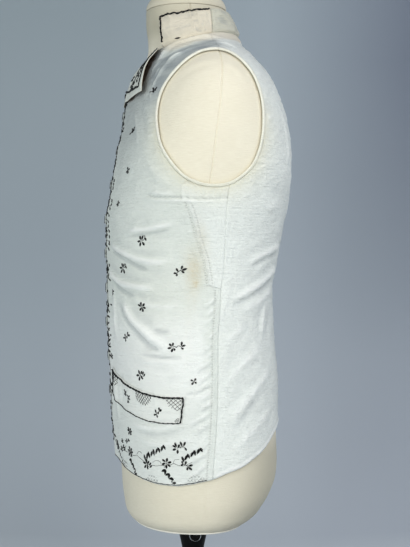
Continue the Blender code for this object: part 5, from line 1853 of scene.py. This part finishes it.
def woven(name, base, streak, warm, tan, yellow, rib=1.0, rough=0.86, stitched=True):
    """Plain-woven cotton: fine threads both ways, slubs along the weft, stains and painted light and shade from the
    piece's own data.
    """
    n = Nodes(name)
    weave = n.attribute("weave")
    slub = n.noise(n.vector("MULTIPLY", weave, (0.085, 0.80, 1.0)), 1.0, 3.0, 0.65, 0.4)
    mottle = n.noise(n.vector("MULTIPLY", weave, (0.21, 0.27, 1.0)), 1.0, 4.0, 0.7)
    fine = n.noise(n.vector("MULTIPLY", weave, (0.22, 2.3, 1.0)), 1.0, 2.0, 0.55)
    warp = n.noise(n.vector("MULTIPLY", weave, (2.4, 0.16, 1.0)), 1.0, 2.0, 0.5)
    cloud = n.noise(n.vector("MULTIPLY", weave, (0.012, 0.016, 1.0)), 1.0, 3.0, 0.6)
    speck = n.noise(n.vector("MULTIPLY", weave, (0.35, 0.35, 1.0)), 1.0, 4.0, 0.7)
    tone_x, tone_y, tone_z = n.parts(n.attribute("tone"))
    pale, grey, brown = n.parts(n.attribute("shade"))
    band = n.noise(n.vector("MULTIPLY", weave, (0.030, 0.30, 1.0)), 1.0, 3.0, 0.65, 0.6)
    colour = n.mix(n.math("MULTIPLY", n.ramp(slub, 0.40, 0.70), 0.6), base, streak)
    colour = n.mix(n.math("MULTIPLY", n.ramp(mottle, 0.42, 0.68), 0.5), colour, streak)
    colour = n.mix(n.math("MULTIPLY", n.ramp(band, 0.48, 0.74), 0.22), colour, streak)
    colour = n.mix(n.math("MULTIPLY", n.ramp(cloud, 0.35, 0.75), 0.35), colour, streak)
    colour = n.mix(n.math("MULTIPLY", tone_z, n.ramp(cloud, 0.2, 0.8, 0.75, 1.0)), colour, warm)
    colour = n.mix(n.math("MULTIPLY", tone_y, n.ramp(speck, 0.3, 0.8, 0.5, 1.0)), colour, yellow)
    colour = n.mix(n.math("MULTIPLY", tone_x, n.ramp(speck, 0.3, 0.75, 0.35, 1.0), clamp=True), colour, tan)
    # the paler turned hem and welts, and painted light on the lower front
    colour = n.mix(n.math("MULTIPLY", pale, 0.85), colour, PALE)
    # painted shade: grey on the shoulder, the upper chest and the lower back
    colour = n.mix(n.math("MULTIPLY", grey, n.ramp(slub, 0.2, 0.8, 0.97, 0.80)), colour, PAINTED_SHADE_GREY)
    # painted shade: brown under the revers
    colour = n.mix(brown, colour, PAINTED_SHADE_BROWN)
    height = n.math("ADD", n.math("MULTIPLY", slub, 0.9 * rib), n.math("MULTIPLY", fine, 0.5 * rib))
    height = n.math("ADD", height, n.math("MULTIPLY", warp, 0.35))
    height = n.math("ADD", height, n.math("MULTIPLY", band, 1.5 * rib))
    height = n.math("ADD", height, n.math("MULTIPLY", mottle, 1.5))
    if stitched:
        gap, run, deep = n.parts(n.attribute("stitch"))
        # painted shade in the hollows of the folds, and painted highlight on their ridges
        colour = n.mix(n.ramp(deep, 0.12, 2.0, 0.0, 0.34), colour, PAINTED_SHADE_GREY)
        colour = n.mix(n.math("MULTIPLY", n.ramp(deep, -0.25, -1.9, 0.0, 0.6), n.ramp(tone_z, 0.0, 0.8, 1.0, 0.1)), colour, n.mix(grey, n.mix(tone_z, PALE, base), streak))
        near = n.math("POWER", 2.718, n.math("MULTIPLY", n.math("MULTIPLY", gap, gap), -1.1))
        beat = n.math("COSINE", n.math("MULTIPLY", run, 2 * math.pi))
        dent = n.math("MULTIPLY", near, n.ramp(beat, 0.1, 1.0))
        height = n.math("SUBTRACT", height, n.math("MULTIPLY", dent, 0.9))
        # painted shade in the stitch dents, brown under the revers
        colour = n.mix(n.math("MULTIPLY", dent, 0.28), colour, n.mix(brown, STITCH_DENT_SHADE, PAINTED_SHADE_BROWN))
    normal = n.bump(height, 1.0, 0.0009)
    n.set(Base_Color=colour, Roughness=rough, Normal=normal, Sheen_Weight=0.12, Sheen_Roughness=0.5, Specular_IOR_Level=0.22)
    n.shader.inputs["Sheen Tint"].default_value = (1, 1, 1, 1)
    return n.material


def jersey(name, base, shade, dark_and_painted_shade):
    """The form's cover: fine knitted cotton."""
    n = Nodes(name)
    weave = n.attribute("weave")
    course = n.noise(n.vector("MULTIPLY", weave, (0.10, 1.25, 1.0)), 1.0, 2.0, 0.5)
    wale = n.noise(n.vector("MULTIPLY", weave, (1.5, 0.25, 1.0)), 1.0, 2.0, 0.5)
    cloud = n.noise(n.vector("MULTIPLY", weave, (0.014, 0.014, 1.0)), 1.0, 3.0, 0.6)
    _, _, tone = n.parts(n.attribute("tone"))
    colour = n.mix(n.math("MULTIPLY", n.ramp(course, 0.35, 0.7), 0.6), base, shade)
    colour = n.mix(n.math("MULTIPLY", n.ramp(cloud, 0.35, 0.75), 0.4), colour, shade)
    colour = n.mix(n.math("MULTIPLY", tone, 0.9), colour, dark_and_painted_shade)
    height = n.math("ADD", course, n.math("MULTIPLY", wale, 0.5))
    normal = n.bump(height, 0.8, 0.0007)
    n.set(Base_Color=colour, Roughness=0.9, Normal=normal, Sheen_Weight=0.1, Sheen_Roughness=0.5, Specular_IOR_Level=0.2)
    return n.material


def thread(name, base, light, rough=0.55):
    """Twisted silk or cotton thread."""
    n = Nodes(name)
    place_at = n.object_place()
    fibre = n.noise(place_at, 2600.0, 3.0, 0.6)
    patchy = n.noise(place_at, 160.0, 2.0, 0.5)
    colour = n.mix(n.math("MULTIPLY", n.ramp(fibre, 0.45, 0.8), 0.6), base, light)
    colour = n.mix(n.math("MULTIPLY", n.ramp(patchy, 0.5, 0.8), 0.35), colour, light)
    normal = n.bump(fibre, 0.3, 0.0001)
    n.set(Base_Color=colour, Roughness=rough, Normal=normal, Sheen_Weight=0.04, Specular_IOR_Level=0.2)
    return n.material


def moulded(name, base, rough):
    n = Nodes(name)
    place_at = n.object_place()
    grain = n.noise(place_at, 900.0, 3.0, 0.6)
    wear = n.noise(place_at, 26.0, 4.0, 0.6)
    colour = n.mix(n.ramp(wear, 0.45, 0.9, 0.0, 0.5), base, tuple(c * 2.2 + 0.004 for c in base))
    roughness = n.ramp(wear, 0.3, 0.8, rough - 0.06, rough + 0.12)
    n.set(Base_Color=colour, Roughness=roughness, Normal=n.bump(grain, 0.12, 0.0002), Specular_IOR_Level=0.14)
    return n.material


def plated(name, base, rough):
    n = Nodes(name)
    place_at = n.object_place()
    wear = n.noise(place_at, 300.0, 3.0, 0.6)
    n.set(Base_Color=n.mix(n.ramp(wear, 0.5, 0.9, 0.0, 0.35), base, tuple(c * 0.7 for c in base)), Metallic=1.0, Roughness=n.ramp(wear, 0.3, 0.8, rough, rough + 0.12))
    return n.material


# pale cloth for the turned hem and the welts, and painted light on the lower front and on the ridges of folds
PALE = linear(248, 249, 245)
# painted shade: grey for the shoulder, the upper chest, the lower back and the hollows of the folds
PAINTED_SHADE_GREY = linear(132, 140, 146)
# painted shade: brown under the revers, and in the stitch dents there
PAINTED_SHADE_BROWN = linear(92, 76, 60)
# painted shade for the stitch dents
STITCH_DENT_SHADE = linear(168, 170, 160)
WHITE = linear(231, 235, 228)
WHITE_SHADE = linear(218, 223, 216)
# the back and insert cloth, painted lighter than the front's to stand in for light on the back
BACK_WHITE_PAINTED_LIGHTER = linear(242, 245, 239)
BACK_STREAK_PAINTED_LIGHTER = linear(225, 229, 224)
AGED = linear(232, 222, 202)
TAN = linear(212, 202, 174)
YELLOW = linear(234, 229, 205)
CREAM = linear(237, 230, 210)
CREAM_SHADE = linear(226, 217, 195)
# darker cream of the neck and the cap, and painted shade on the back of the lower body
CREAM_DARK_AND_PAINTED_SHADE = linear(190, 184, 164)

FRONT_CLOTH = woven("embroidered_cotton", WHITE, WHITE_SHADE, AGED, TAN, YELLOW)
# painted light: the back and the inserts are painted lighter than the front
BACK_CLOTH = woven("plain_cotton_painted_lighter", BACK_WHITE_PAINTED_LIGHTER, BACK_STREAK_PAINTED_LIGHTER, AGED, TAN, YELLOW, rib=0.95)
COLLAR_CLOTH = woven("aged_cotton", linear(221, 216, 199), linear(207, 199, 180), AGED, TAN, YELLOW, rib=0.9)
# aged cotton of the back collar, painted darker and greyer than the front collar as shade
COLLAR_BACK_SHADED_CLOTH = woven("aged_plain_cotton_painted_shade", linear(203, 202, 188), linear(187, 186, 173), AGED, TAN, YELLOW)
# painted shade: the underside of each revers is dark brown, for the shade under it
REVERS_UNDERSIDE_SHADE = woven("brown_underside_painted_shade", linear(122, 100, 76), linear(98, 79, 58), AGED, TAN, YELLOW, stitched=False)
ROLL_CLOTH = woven("binding_cotton", linear(244, 243, 233), linear(232, 232, 220), AGED, TAN, linear(240, 236, 212), rib=0.8, stitched=False)
FORM_COVER = jersey("form_jersey", CREAM, CREAM_SHADE, CREAM_DARK_AND_PAINTED_SHADE)
FORM_PIPING = jersey("form_piping", linear(252, 248, 236), linear(244, 238, 222), CREAM_DARK_AND_PAINTED_SHADE)
BLACK_THREAD = thread("black_thread", (0.004, 0.004, 0.004), (0.016, 0.0155, 0.0155), 0.7)
GREY_THREAD = thread("fine_dark_thread", (0.06, 0.06, 0.058), (0.16, 0.16, 0.15))
WHITE_THREAD = thread("white_thread", linear(232, 234, 226), linear(214, 216, 208))
BLACK = moulded("black_satin", (0.0012, 0.0012, 0.0014), 0.5)
CHROME = plated("polished_chrome", (0.55, 0.56, 0.57), 0.16)


# ---------------------------------------------------------------- the waistcoat and its form

FINE = 8
front = front_grid(FINE, FINE * 15 + 1)
back = back_grid(FINE, FINE * 11 + 1)
insert = insert_grid(FINE)

front_left = add_panel("front", front, 1, FRONT_CLOTH, lapped=True)
front_right = add_panel("front", front, -1, FRONT_CLOTH)
back_left = add_panel("back", back, 1, BACK_CLOTH)
back_right = add_panel("back", back, -1, BACK_CLOTH)
underarm_left = add_panel("underarm", insert, 1, BACK_CLOTH)
underarm_right = add_panel("underarm", insert, -1, BACK_CLOTH)

collar_left = collar_piece("collar_front_left_cloth", 0.0, COLLAR_SEAM - 0.018, 81, 1, COLLAR_CLOTH, ("collar_front_left",), 0.75)
collar_right = collar_piece("collar_front_right_cloth", 0.0, COLLAR_SEAM - 0.018, 81, -1, COLLAR_CLOTH, ("collar_front_right",), 0.75)
collar_behind = collar_back(COLLAR_BACK_SHADED_CLOTH)
revers_left = add_revers(1, FRONT_CLOTH)
revers_right = add_revers(-1, FRONT_CLOTH)
welt_left = add_welt(1, FRONT_CLOTH)
welt_right = add_welt(-1, FRONT_CLOTH)
binding_left = add_binding(1, ROLL_CLOTH)
binding_right = add_binding(-1, ROLL_CLOTH)
for number in range(BUTTONS):
    add_button(number, FRONT_CLOTH)
build_form(FORM_COVER, FORM_PIPING)
build_stand(FORM_COVER, BLACK, CHROME)

# ---------------------------------------------------------------- embroidery

# Sprigs of the left front: angle, height, size in mm, turn in degrees and kind.
SPRIGS = (
    (42.3, 743.8, 10.5, 42, "streak"),
    (25.0, 698.6, 10.0, 30, "streak"),
    (30.7, 648.6, 9.0, 0, "small"),
    (23.9, 608.5, 8.0, 10, "small"),
    (50.5, 560.3, 11.5, 0, "hook"),
    (32.9, 526.9, 11.0, 10, "hook"),
    (76.2, 523.8, 11.0, 0, "fan"),
    (18.3, 495.8, 8.0, -12, "small"),
    (51.0, 478.7, 9.0, 22, "star"),
    (36.2, 441.1, 10.5, 10, "pair"),
    (74.0, 430.6, 10.8, 0, "double"),
    (10.3, 412.9, 8.0, 0, "small"),
    (48.3, 394.5, 10.5, 6, "dashes"),
    (83.7, 389.4, 8.5, 60, "small"),
    (35.0, 323.5, 8.0, 8, "star"),
    (74.6, 310.0, 11.0, -6, "twin"),
)
VINE = (
    (4.2, 322.0), (7.0, 306.0), (11.5, 299.0), (18.0, 295.0), (23.9, 295.8), (29.6, 296.0), (33.5, 297.7), (36.1, 293.5), (40.6, 294.8), (44.4, 291.3),
    (48.6, 288.2), (53.8, 285.7), (62.3, 287.2), (65.9, 287.7), (69.7, 290.6), (73.2, 288.5), (76.9, 288.8), (81.3, 293.1),
)
FLOWERS = ((11.5, 299.0, "star"), (33.5, 297.7, "star"), (50.1, 285.7, "dashes"), (64.8, 290.6, "star"), (78.1, 288.6, "fan"))
BRANCHES = (  # places, leaves, length and width of a leaf, how they lean, and whether that is from upright
    (((47.6, 292.5), (51.5, 297.0), (56.0, 301.5), (60.5, 305.5), (64.6, 309.5)), 9, 8.4, 3.3, (-17, 21), True),
    (((75.4, 295.0), (79.5, 300.0), (83.6, 304.5), (86.6, 307.6)), 7, 7.8, 3.2, (-17, 21), True),
    (((31.8, 287.6), (34.5, 281.0), (38.0, 270.8)), 7, 6.4, 3.4, (-62, -112), False),
    (((62.0, 281.5), (66.0, 274.5), (69.6, 266.8)), 7, 6.4, 3.4, (-62, -112), False),
    (((13.0, 291.0), (16.0, 286.0), (19.5, 281.0)), 4, 4.6, 2.8, (-62, -112), False),
)
CLUSTERS = ((23.0, 308.2, 6.0, "small"), (31.2, 310.3, 6.5, "pair"), (20.3, 297.1, 7.0, "small"), (24.6, 299.9, 7.5, "small"))
BORDER = (  # along the opening: from, to, leaves for each 10 mm, how far the second row stands off
    (751.0, 733.0, 2.6, 0.0), (726.0, 708.0, 2.2, 5.0), (705.0, 678.0, 2.2, 0.0), (674.0, 657.0, 2.4, 0.0),
    (647.0, 605.0, 2.6, 5.5), (600.0, 552.0, 2.6, 5.5), (538.0, 514.0, 2.6, 4.5), (500.0, 486.0, 2.0, 0.0), (482.0, 466.0, 2.4, 4.0),
    (459.0, 419.0, 2.8, 5.0), (413.0, 405.0, 2.0, 0.0), (390.0, 362.0, 2.4, 4.5), (352.0, 340.0, 2.0, 0.0), (331.0, 306.0, 2.6, 0.0),
)


def border_x(z):
    return 17.0 + 3.2 * np.sin(z * 2 * math.pi / 43.0) + 1.4 * np.sin(z * 2 * math.pi / 17.0)


def embroider_front(side):
    name = "left" if side > 0 else "right"
    work = Needlework(on_panel, panel_scale, side)
    rng = np.random.default_rng(101 if side > 0 else 102)
    jitter = 0.0 if side > 0 else 1.0
    for k, (angle, z, size, turn, kind) in enumerate(SPRIGS):
        at = (angle + jitter * rng.uniform(-0.8, 0.8), z + jitter * rng.uniform(-2.5, 2.5))
        wide = 1.0 + 0.55 * float(step_up(np.array((40.0 - angle) / 22.0)))
        sprig(work, at, size, turn + jitter * rng.uniform(-14, 14), kind, 200 + k + 50 * (side < 0), wide)
    for k, (angle, z, size, kind) in enumerate(CLUSTERS):
        sprig(work, (angle, z), size, 20.0 * (k % 2), kind, 260 + k, 1.4)
    for k, (angle, z, kind) in enumerate(FLOWERS):
        sprig(work, (angle, z), 10.4, 15 * k + jitter * 9, kind, 280 + k)
    for k, (places, count, length, width, lean, upright) in enumerate(BRANCHES):
        spray(work, places, count, length, width, lean, 300 + k + 50 * (side < 0), upright=upright)
    line = curve_through(np.array(VINE), 10)
    work.cord(line, 0.24, 0.2, 1.3, 0.35, 310 + (side < 0), 5, straight=True)
    tendrils = (((54.5, 289.5), (57.5, 292.5), (60.5, 291.5), (61.0, 288.5)), ((69.5, 291.0), (70.5, 295.0), (73.5, 296.0)), ((40.5, 296.0), (43.0, 300.5), (46.0, 299.0)), ((26.0, 296.5), (27.0, 302.0), (29.0, 303.5)))
    for k, places in enumerate(tendrils):
        work.cord(places, 0.2, 0.18, 1.2, 0.1, 320 + k, 4)
    turn = np.linspace(4.8, 88.8, 90)
    hem = np.stack([turn, hem_height(turn) + 1.5], axis=-1)
    work.cord(hem, 0.42, 0.35, 0.8, 0.3, 331 + (side < 0), 6, straight=True)
    work.build(f"embroidery_front_{name}", BLACK_THREAD)

    # nets at the hem
    work = Needlework(on_panel, panel_scale, side)
    for angle, wide, deep in ((83.2, 11.0, 9.0), (53.0, 11.0, 8.0), (24.0, 10.0, 8.0)):
        work.net((angle, float(hem_height(angle)) + 1.6), wide, deep, 4.2, 0.13, up=True, edged=False)
    work.build(f"openwork_hem_{name}", GREY_THREAD)

    work = Needlework(on_border, plain_scale, side)
    shift = 0.0 if side > 0 else 1.5
    z = np.linspace(752.0, 303.0, 300)
    work.cord(np.stack([border_x(z) + shift, z], axis=-1), 0.22, 0.2, 1.3, 0.3, 340 + (side < 0), 5, straight=True)
    for k, (high, low, dense, second) in enumerate(BORDER):
        count = max(int((high - low) / 10.0 * dense), 2)
        heights = np.linspace(high, low, count)
        for i, h in enumerate(heights):
            lean = (1 if i % 2 else -1) * rng.uniform(18, 82)
            x = float(border_x(h)) + shift + rng.uniform(-2.6, 2.6)
            work.leaf((x, h + rng.uniform(-1.8, 1.8)), 0.0, 0.0, 180 + lean, rng.uniform(3.8, 7.2), rng.uniform(2.0, 3.2), pitch=0.62, wide=1.7, bold=1.6)
        middle = 0.5 * (high + low)
        if high - low > 14:
            sprig(work, (float(border_x(middle)) + shift + 1.0, middle), 8.5, 25 * k, "small" if k % 2 else "star", 360 + k, 1.3)
        if second:
            for h in np.arange(high - 3.0, low, -6.4):
                x = float(border_x(h)) + second * 2.6 + shift + rng.uniform(-3.0, 3.0)
                work.leaf((x, h + rng.uniform(-2.4, 2.4)), 0.0, 0.0, rng.uniform(110, 250), rng.uniform(2.8, 5.2), rng.uniform(1.8, 2.8), pitch=0.56, wide=1.7, bold=1.4)
    if side > 0:
        z = np.linspace(741.0, 287.0, 300)
        for k, (high, low, dense, second) in enumerate(BORDER):
            for h in np.arange(high, low, -9.5):
                if rng.uniform() < 0.3:
                    continue
                work.leaf((-LAP_WIDTH + 2.4 + rng.uniform(0.0, 2.0), h + rng.uniform(-2.0, 2.0)), 0.0, 0.0, 180 + rng.uniform(-30, 30), rng.uniform(3.2, 5.4), 1.8, pitch=0.6, bold=1.7)
    work.build(f"embroidery_border_{name}", BLACK_THREAD)


def welt_x(angle):
    u = np.linspace(0, 1, 200)
    return float(np.interp(angle, welt_ground(u, 0.5)[0], u) * 140.0)


def embroider_welt(side):
    name = "left" if side > 0 else "right"
    work = Needlework(on_welt, plain_scale, side)
    work.cord(((1.6, 31.6), (30, 31.8), (70, 31.7), (110, 31.9), (138.8, 32.0)), 1.05, 0.78, 0.62, 0.3, 401 + side)
    work.cord(((138.9, 32.0), (139.0, 20.0), (139.1, 10.0), (139.1, 1.4)), 0.95, 0.72, 0.62, 0.45, 404 + side)
    work.cord(((139.0, 1.3), (110, 1.4), (70, 1.4), (30, 1.5), (1.6, 1.5)), 0.62, 0.5, 0.62, 0.3, 407 + side, 6)
    work.cord(((1.6, 1.6), (1.5, 16.0), (1.6, 31.4)), 0.62, 0.5, 0.62, 0.3, 410 + side, 6)
    for angle, v, size, turn, kind in ((33.2, 21.5, 8.0, -20, "small"), (36.6, 16.5, 7.5, 150, "pair"), (61.5, 13.5, 10.0, 0, "pair"), (9.0, 20.0, 7.0, 0, "small")):
        sprig(work, (welt_x(angle), v), size, turn, kind, 420 + int(angle) + (side < 0))
    work.build(f"embroidery_welt_{name}", BLACK_THREAD)
    work = Needlework(on_welt, plain_scale, side)
    work.net((138.0, 31.2), 18.0, 15.0, 4.8, 0.3, quarter=True, edged=False)
    work.net((welt_x(50.0), 31.2), 17.0, 13.5, 4.8, 0.28, edged=False)
    work.net((welt_x(15.0), 31.2), 17.0, 14.5, 4.8, 0.28, edged=False)
    work.net((137.4, 2.2), 6.0, 6.0, 2.2, up=True, quarter=True, edged=False)
    work.build(f"openwork_welt_{name}", BLACK_THREAD)


def embroider_collar(side):
    name = "left" if side > 0 else "right"
    work = Needlework(on_collar, plain_scale, side)
    end = COLLAR_SEAM * 17.0 - 1.5
    top = [(1.9, 34.4), (12, 34.5), (24, 34.2), (36, 34.5), (48, 34.3), (end, 34.4)]
    work.cord(top, 1.05, 0.75, 0.7, 1.1, 501 + side)
    work.cord(((1.9, 34.6), (1.8, 24.0), (1.9, 12.0), (2.2, 2.6)), 1.05, 0.75, 0.7, 0.55, 504 + side)
    work.leaf((14.5, 1.8), 0.0, 0.0, 96, 6.4, 1.4, bold=1.5)
    work.build(f"embroidery_collar_{name}", BLACK_THREAD)


def embroider_revers(side):
    name = "left" if side > 0 else "right"
    work = Needlework(on_revers, plain_scale, side)
    edge = [(31.0, y) for y in (58.0, 48.0, 36.0, 24.0, 12.0, 5.4)]
    work.cord(edge, 0.8, 0.55, 0.62, 0.4, 521 + side)
    work.cord(((31.0, 5.4), (22.0, 6.2), (12.0, 7.2), (1.5, 8.6)), 1.15, 0.8, 0.7, 0.5, 524 + side)
    spray(work, ((25.5, 11.0), (25.0, 19.0), (26.0, 30.0), (25.0, 42.0), (24.5, 53.0)), 15, 5.0, 2.3, (-50, 50), 527 + side)
    for x, y, size, turn, kind in ((15.5, 12.0, 9.0, 0, "star"), (16.5, 29.0, 9.0, 20, "hook"), (14.0, 45.0, 8.5, -15, "small"), (6.5, 21.0, 7.5, 0, "small"), (6.5, 38.0, 7.5, 30, "small"), (19.5, 20.5, 6.5, 60, "small"), (19.0, 37.5, 6.5, -40, "small")):
        sprig(work, (x, y), size, turn, kind, 530 + int(y) + (side < 0))
    work.build(f"embroidery_revers_{name}", BLACK_THREAD)


def embroider_buttons():
    for i in range(BUTTONS):
        work = Needlework(on_button(i), plain_scale, 1)
        for k in range(5):
            turn = 72 * k + 9 * i
            t = math.radians(turn)
            work.leaf((0.0, 0.0), 0.6 * math.sin(t), 0.6 * math.cos(t), turn, 3.6, 1.9)
            work.leaf((0.0, 0.0), 5.2 * math.sin(t + 0.6), 5.2 * math.cos(t + 0.6), turn + 124, 3.4, 1.1, bold=1.3)
        work.knot((0.0, 0.0), 0.0, 0.0, 0.5)
        work.build(f"embroidery_button_{i + 1}", BLACK_THREAD)


def sew_seams(side):
    """White running stitches that show along the side seam and the insert's front seam."""
    name = "left" if side > 0 else "right"
    work = Needlework(on_panel, panel_scale, side)
    z = np.linspace(268.0, 499.0, 120)
    seam = side_seam(z)
    s = flat(*seam.T)[:, 0]
    scale = np.array([panel_scale(a, h)[0] for a, h in seam[::10]])
    per = np.interp(z, z[::10], scale)
    work.stitches(np.stack([seam[:, 0] - 7.2 / per, z], axis=-1), STITCH_PITCH, 1.7, 0.28)
    z = np.linspace(507.0, 603.0, 60)
    seam = insert_front(z)
    per = panel_scale(*seam[30])[0]
    work.stitches(np.stack([seam[:, 0] - 2.6 / per, z], axis=-1), STITCH_PITCH, 1.6, 0.26)
    work.stitches(np.stack([seam[:, 0] + 4.6 / per, z], axis=-1), STITCH_PITCH, 1.5, 0.24)
    work.build(f"stitches_{name}", WHITE_THREAD)


for side in (1, -1):
    embroider_front(side)
    embroider_welt(side)
    embroider_collar(side)
    embroider_revers(side)
    sew_seams(side)
embroider_buttons()

# ---------------------------------------------------------------- camera, floor and light

AZIMUTH, CAMERA_AWAY, EYE, PIXELS, VIEW_HEIGHT = 85.0, 1.55, 0.52, 1162.0, 547.0
turn = math.radians(AZIMUTH)
camera = bpy.data.objects.new("camera", bpy.data.cameras.new("camera"))
bpy.context.scene.collection.objects.link(camera)
camera.location = (CAMERA_AWAY * math.sin(turn), -CAMERA_AWAY * math.cos(turn), EYE)
camera.rotation_euler = Vector((-math.sin(turn), math.cos(turn), 0.0)).to_track_quat("-Z", "Y").to_euler()
camera.data.sensor_fit = "VERTICAL"
camera.data.sensor_height = 24.0
camera.data.lens = 24.0 * PIXELS / VIEW_HEIGHT
camera.data.shift_x = 12.0 / VIEW_HEIGHT
camera.data.clip_start = 0.05
bpy.context.scene.camera = camera


def backdrop_material(name, low, high, far, one_sided):
    """Plain painted board, a little uneven. The wall also has painted light and shade: lighter low down, and along it
    first a little paler, then darker, most of all high up. One side of the wall lets another view look through it.
    """
    n = Nodes(name)
    at = n.object_place()
    cloud = n.noise(at, 0.9, 2.0, 0.5)
    if one_sided:
        _, across, up = n.parts(at)
        # painted light and shade: lighter low down, a little paler and then darker along the wall, darkest high up
        level = n.math("ADD", n.ramp(up, 1.05, 0.0, 0.0, 0.92), n.ramp(cloud, 0.3, 0.7, 0.0, 0.08))
        paint = n.mix(n.ramp(across, -0.1, 0.28, 0.0, 0.12), n.mix(level, low, high), (0.80, 0.86, 1.0))
        paint = n.mix(n.math("MULTIPLY", n.ramp(across, 0.22, 0.50, 0.0, 0.8), n.ramp(up, 0.35, 0.95, 0.3, 1.0)), paint, far)
        paint = n.mix(n.ramp(up, 0.05, 0.004), paint, (0.60, 0.64, 0.67))
    else:
        paint = n.mix(n.ramp(cloud, 0.3, 0.7), low, high)
    n.set(Base_Color=paint, Roughness=0.95, Specular_IOR_Level=0.1)
    if one_sided:
        clear = n.tree.nodes.new("ShaderNodeBsdfTransparent")
        mix = n.tree.nodes.new("ShaderNodeMixShader")
        faces = n.tree.nodes.new("ShaderNodeNewGeometry")
        n.tree.links.new(faces.outputs["Backfacing"], mix.inputs[0])
        n.tree.links.new(n.shader.outputs[0], mix.inputs[1])
        n.tree.links.new(clear.outputs[0], mix.inputs[2])
        n.tree.links.new(mix.outputs[0], n.out.inputs[0])
    return n.material


def stage_sheet(name, corners, faces, material):
    mesh = bpy.data.meshes.new(name)
    mesh.from_pydata(corners, [], faces)
    mesh.polygons.foreach_set("use_smooth", [True] * len(mesh.polygons))
    mesh.materials.append(material)
    obj = bpy.data.objects.new(name, mesh)
    bpy.context.scene.collection.objects.link(obj)
    return obj


around = np.linspace(0, 2 * math.pi, 145)[:-1]
floor_points = [(4.5 * math.cos(t), 4.5 * math.sin(t), 0.0) for t in around]
stage_sheet("floor", floor_points, [tuple(range(len(floor_points)))], backdrop_material("pale_floor", linear(205, 211, 216), linear(214, 219, 223), None, False))

# a wall that curves up out of the floor: flat behind the object, bending round at its ends.
# From outside it is clear, and it stops no light.
WALL_AT, WALL_FAR, FILLET = 0.80, 3.3, 0.50
turns = np.linspace(-112.0, 112.0, 113)
reach = np.array([WALL_AT / max(math.cos(math.radians(t)), 0.01) if abs(t) < 89 else 99.0 for t in turns])
reach = (reach**-6.0 + WALL_FAR**-6.0) ** (-1 / 6.0)
profile = [(-FILLET + FILLET * math.sin(t), FILLET - FILLET * math.cos(t)) for t in np.linspace(0.0, math.pi / 2, 17)]
profile += [(0.0, 1.2), (0.0, 3.2)]
wall_points = []
for grows, high in profile:
    for t, away in zip(turns, reach):
        facing = math.radians(AZIMUTH + 180.0 + t)
        wall_points.append(((away + grows) * math.sin(facing), -(away + grows) * math.cos(facing), high + 0.001))
wall_faces = [tuple(int(i) for i in f) for f in quads(len(profile), len(turns), 0)]
wall = stage_sheet("wall", wall_points, wall_faces, backdrop_material("grey_blue_wall", (0.300, 0.350, 0.378), (0.49, 0.525, 0.565), (0.155, 0.175, 0.225), True))
wall.visible_shadow = False
side_face = wall.data.polygons[len(wall.data.polygons) - len(turns) // 2]
if side_face.normal.dot(Vector((*side_face.center[:2], 0.0))) > 0:
    wall.data.flip_normals()


def softbox(name, azimuth, elevation, power, colour, size=1.1, away=2.1):
    """A square soft light aimed at the middle of the object."""
    turned_by, raised = math.radians(azimuth), math.radians(elevation)
    place_at = Vector((away * math.cos(raised) * math.sin(turned_by), -away * math.cos(raised) * math.cos(turned_by), 0.5 + away * math.sin(raised)))
    data = bpy.data.lights.new(name, "AREA")
    data.shape = "RECTANGLE"
    data.size = data.size_y = size
    data.energy = power
    data.color = colour
    obj = bpy.data.objects.new(name, data)
    obj.location = place_at
    obj.rotation_euler = (Vector((0.0, 0.0, 0.52)) - place_at).to_track_quat("-Z", "Y").to_euler()
    bpy.context.scene.collection.objects.link(obj)
    return obj


softbox("softbox_front", 60, 7, 18.6, (0.94, 0.985, 0.98))
softbox("softbox_low", 28, 0, 6.5, (0.94, 0.985, 0.97))
softbox("softbox_side", 110, 14, 12.6, (1.0, 0.93, 0.83))
softbox("softbox_above", 140, 46, 14.0, (0.89, 0.92, 1.0))
softbox("softbox_behind", 150, 12, 5.0, (0.72, 0.88, 1.0))

world = bpy.data.worlds.new("studio")
world.use_nodes = True
world.node_tree.nodes["Background"].inputs[0].default_value = (0.92, 1.0, 1.1, 1.0)
world.node_tree.nodes["Background"].inputs[1].default_value = 0.2
bpy.context.scene.world = world
bpy.context.scene.view_settings.view_transform = "Standard"
bpy.context.scene.view_settings.look = "None"

# ---------------------------------------------------------------- the cut of each sheet of cloth


def pieces(*names):
    return [bpy.data.objects[name] for name in names if name in bpy.data.objects]


for end, panel, back_panel, insert_panel, welt_sheet, revers_sheet, collar_sheet in (
    ("left", front_left, back_left, underarm_left, welt_left, revers_left, collar_left),
    ("right", front_right, back_right, underarm_right, welt_right, revers_right, collar_right),
):
    on_front = pieces(f"embroidery_front_{end}", f"embroidery_border_{end}", f"openwork_hem_{end}", f"binding_{end}_roll")
    if end == "right":
        on_front += pieces(*(f"button_{i + 1}_covered" for i in range(BUTTONS)), *(f"embroidery_button_{i + 1}" for i in range(BUTTONS)))
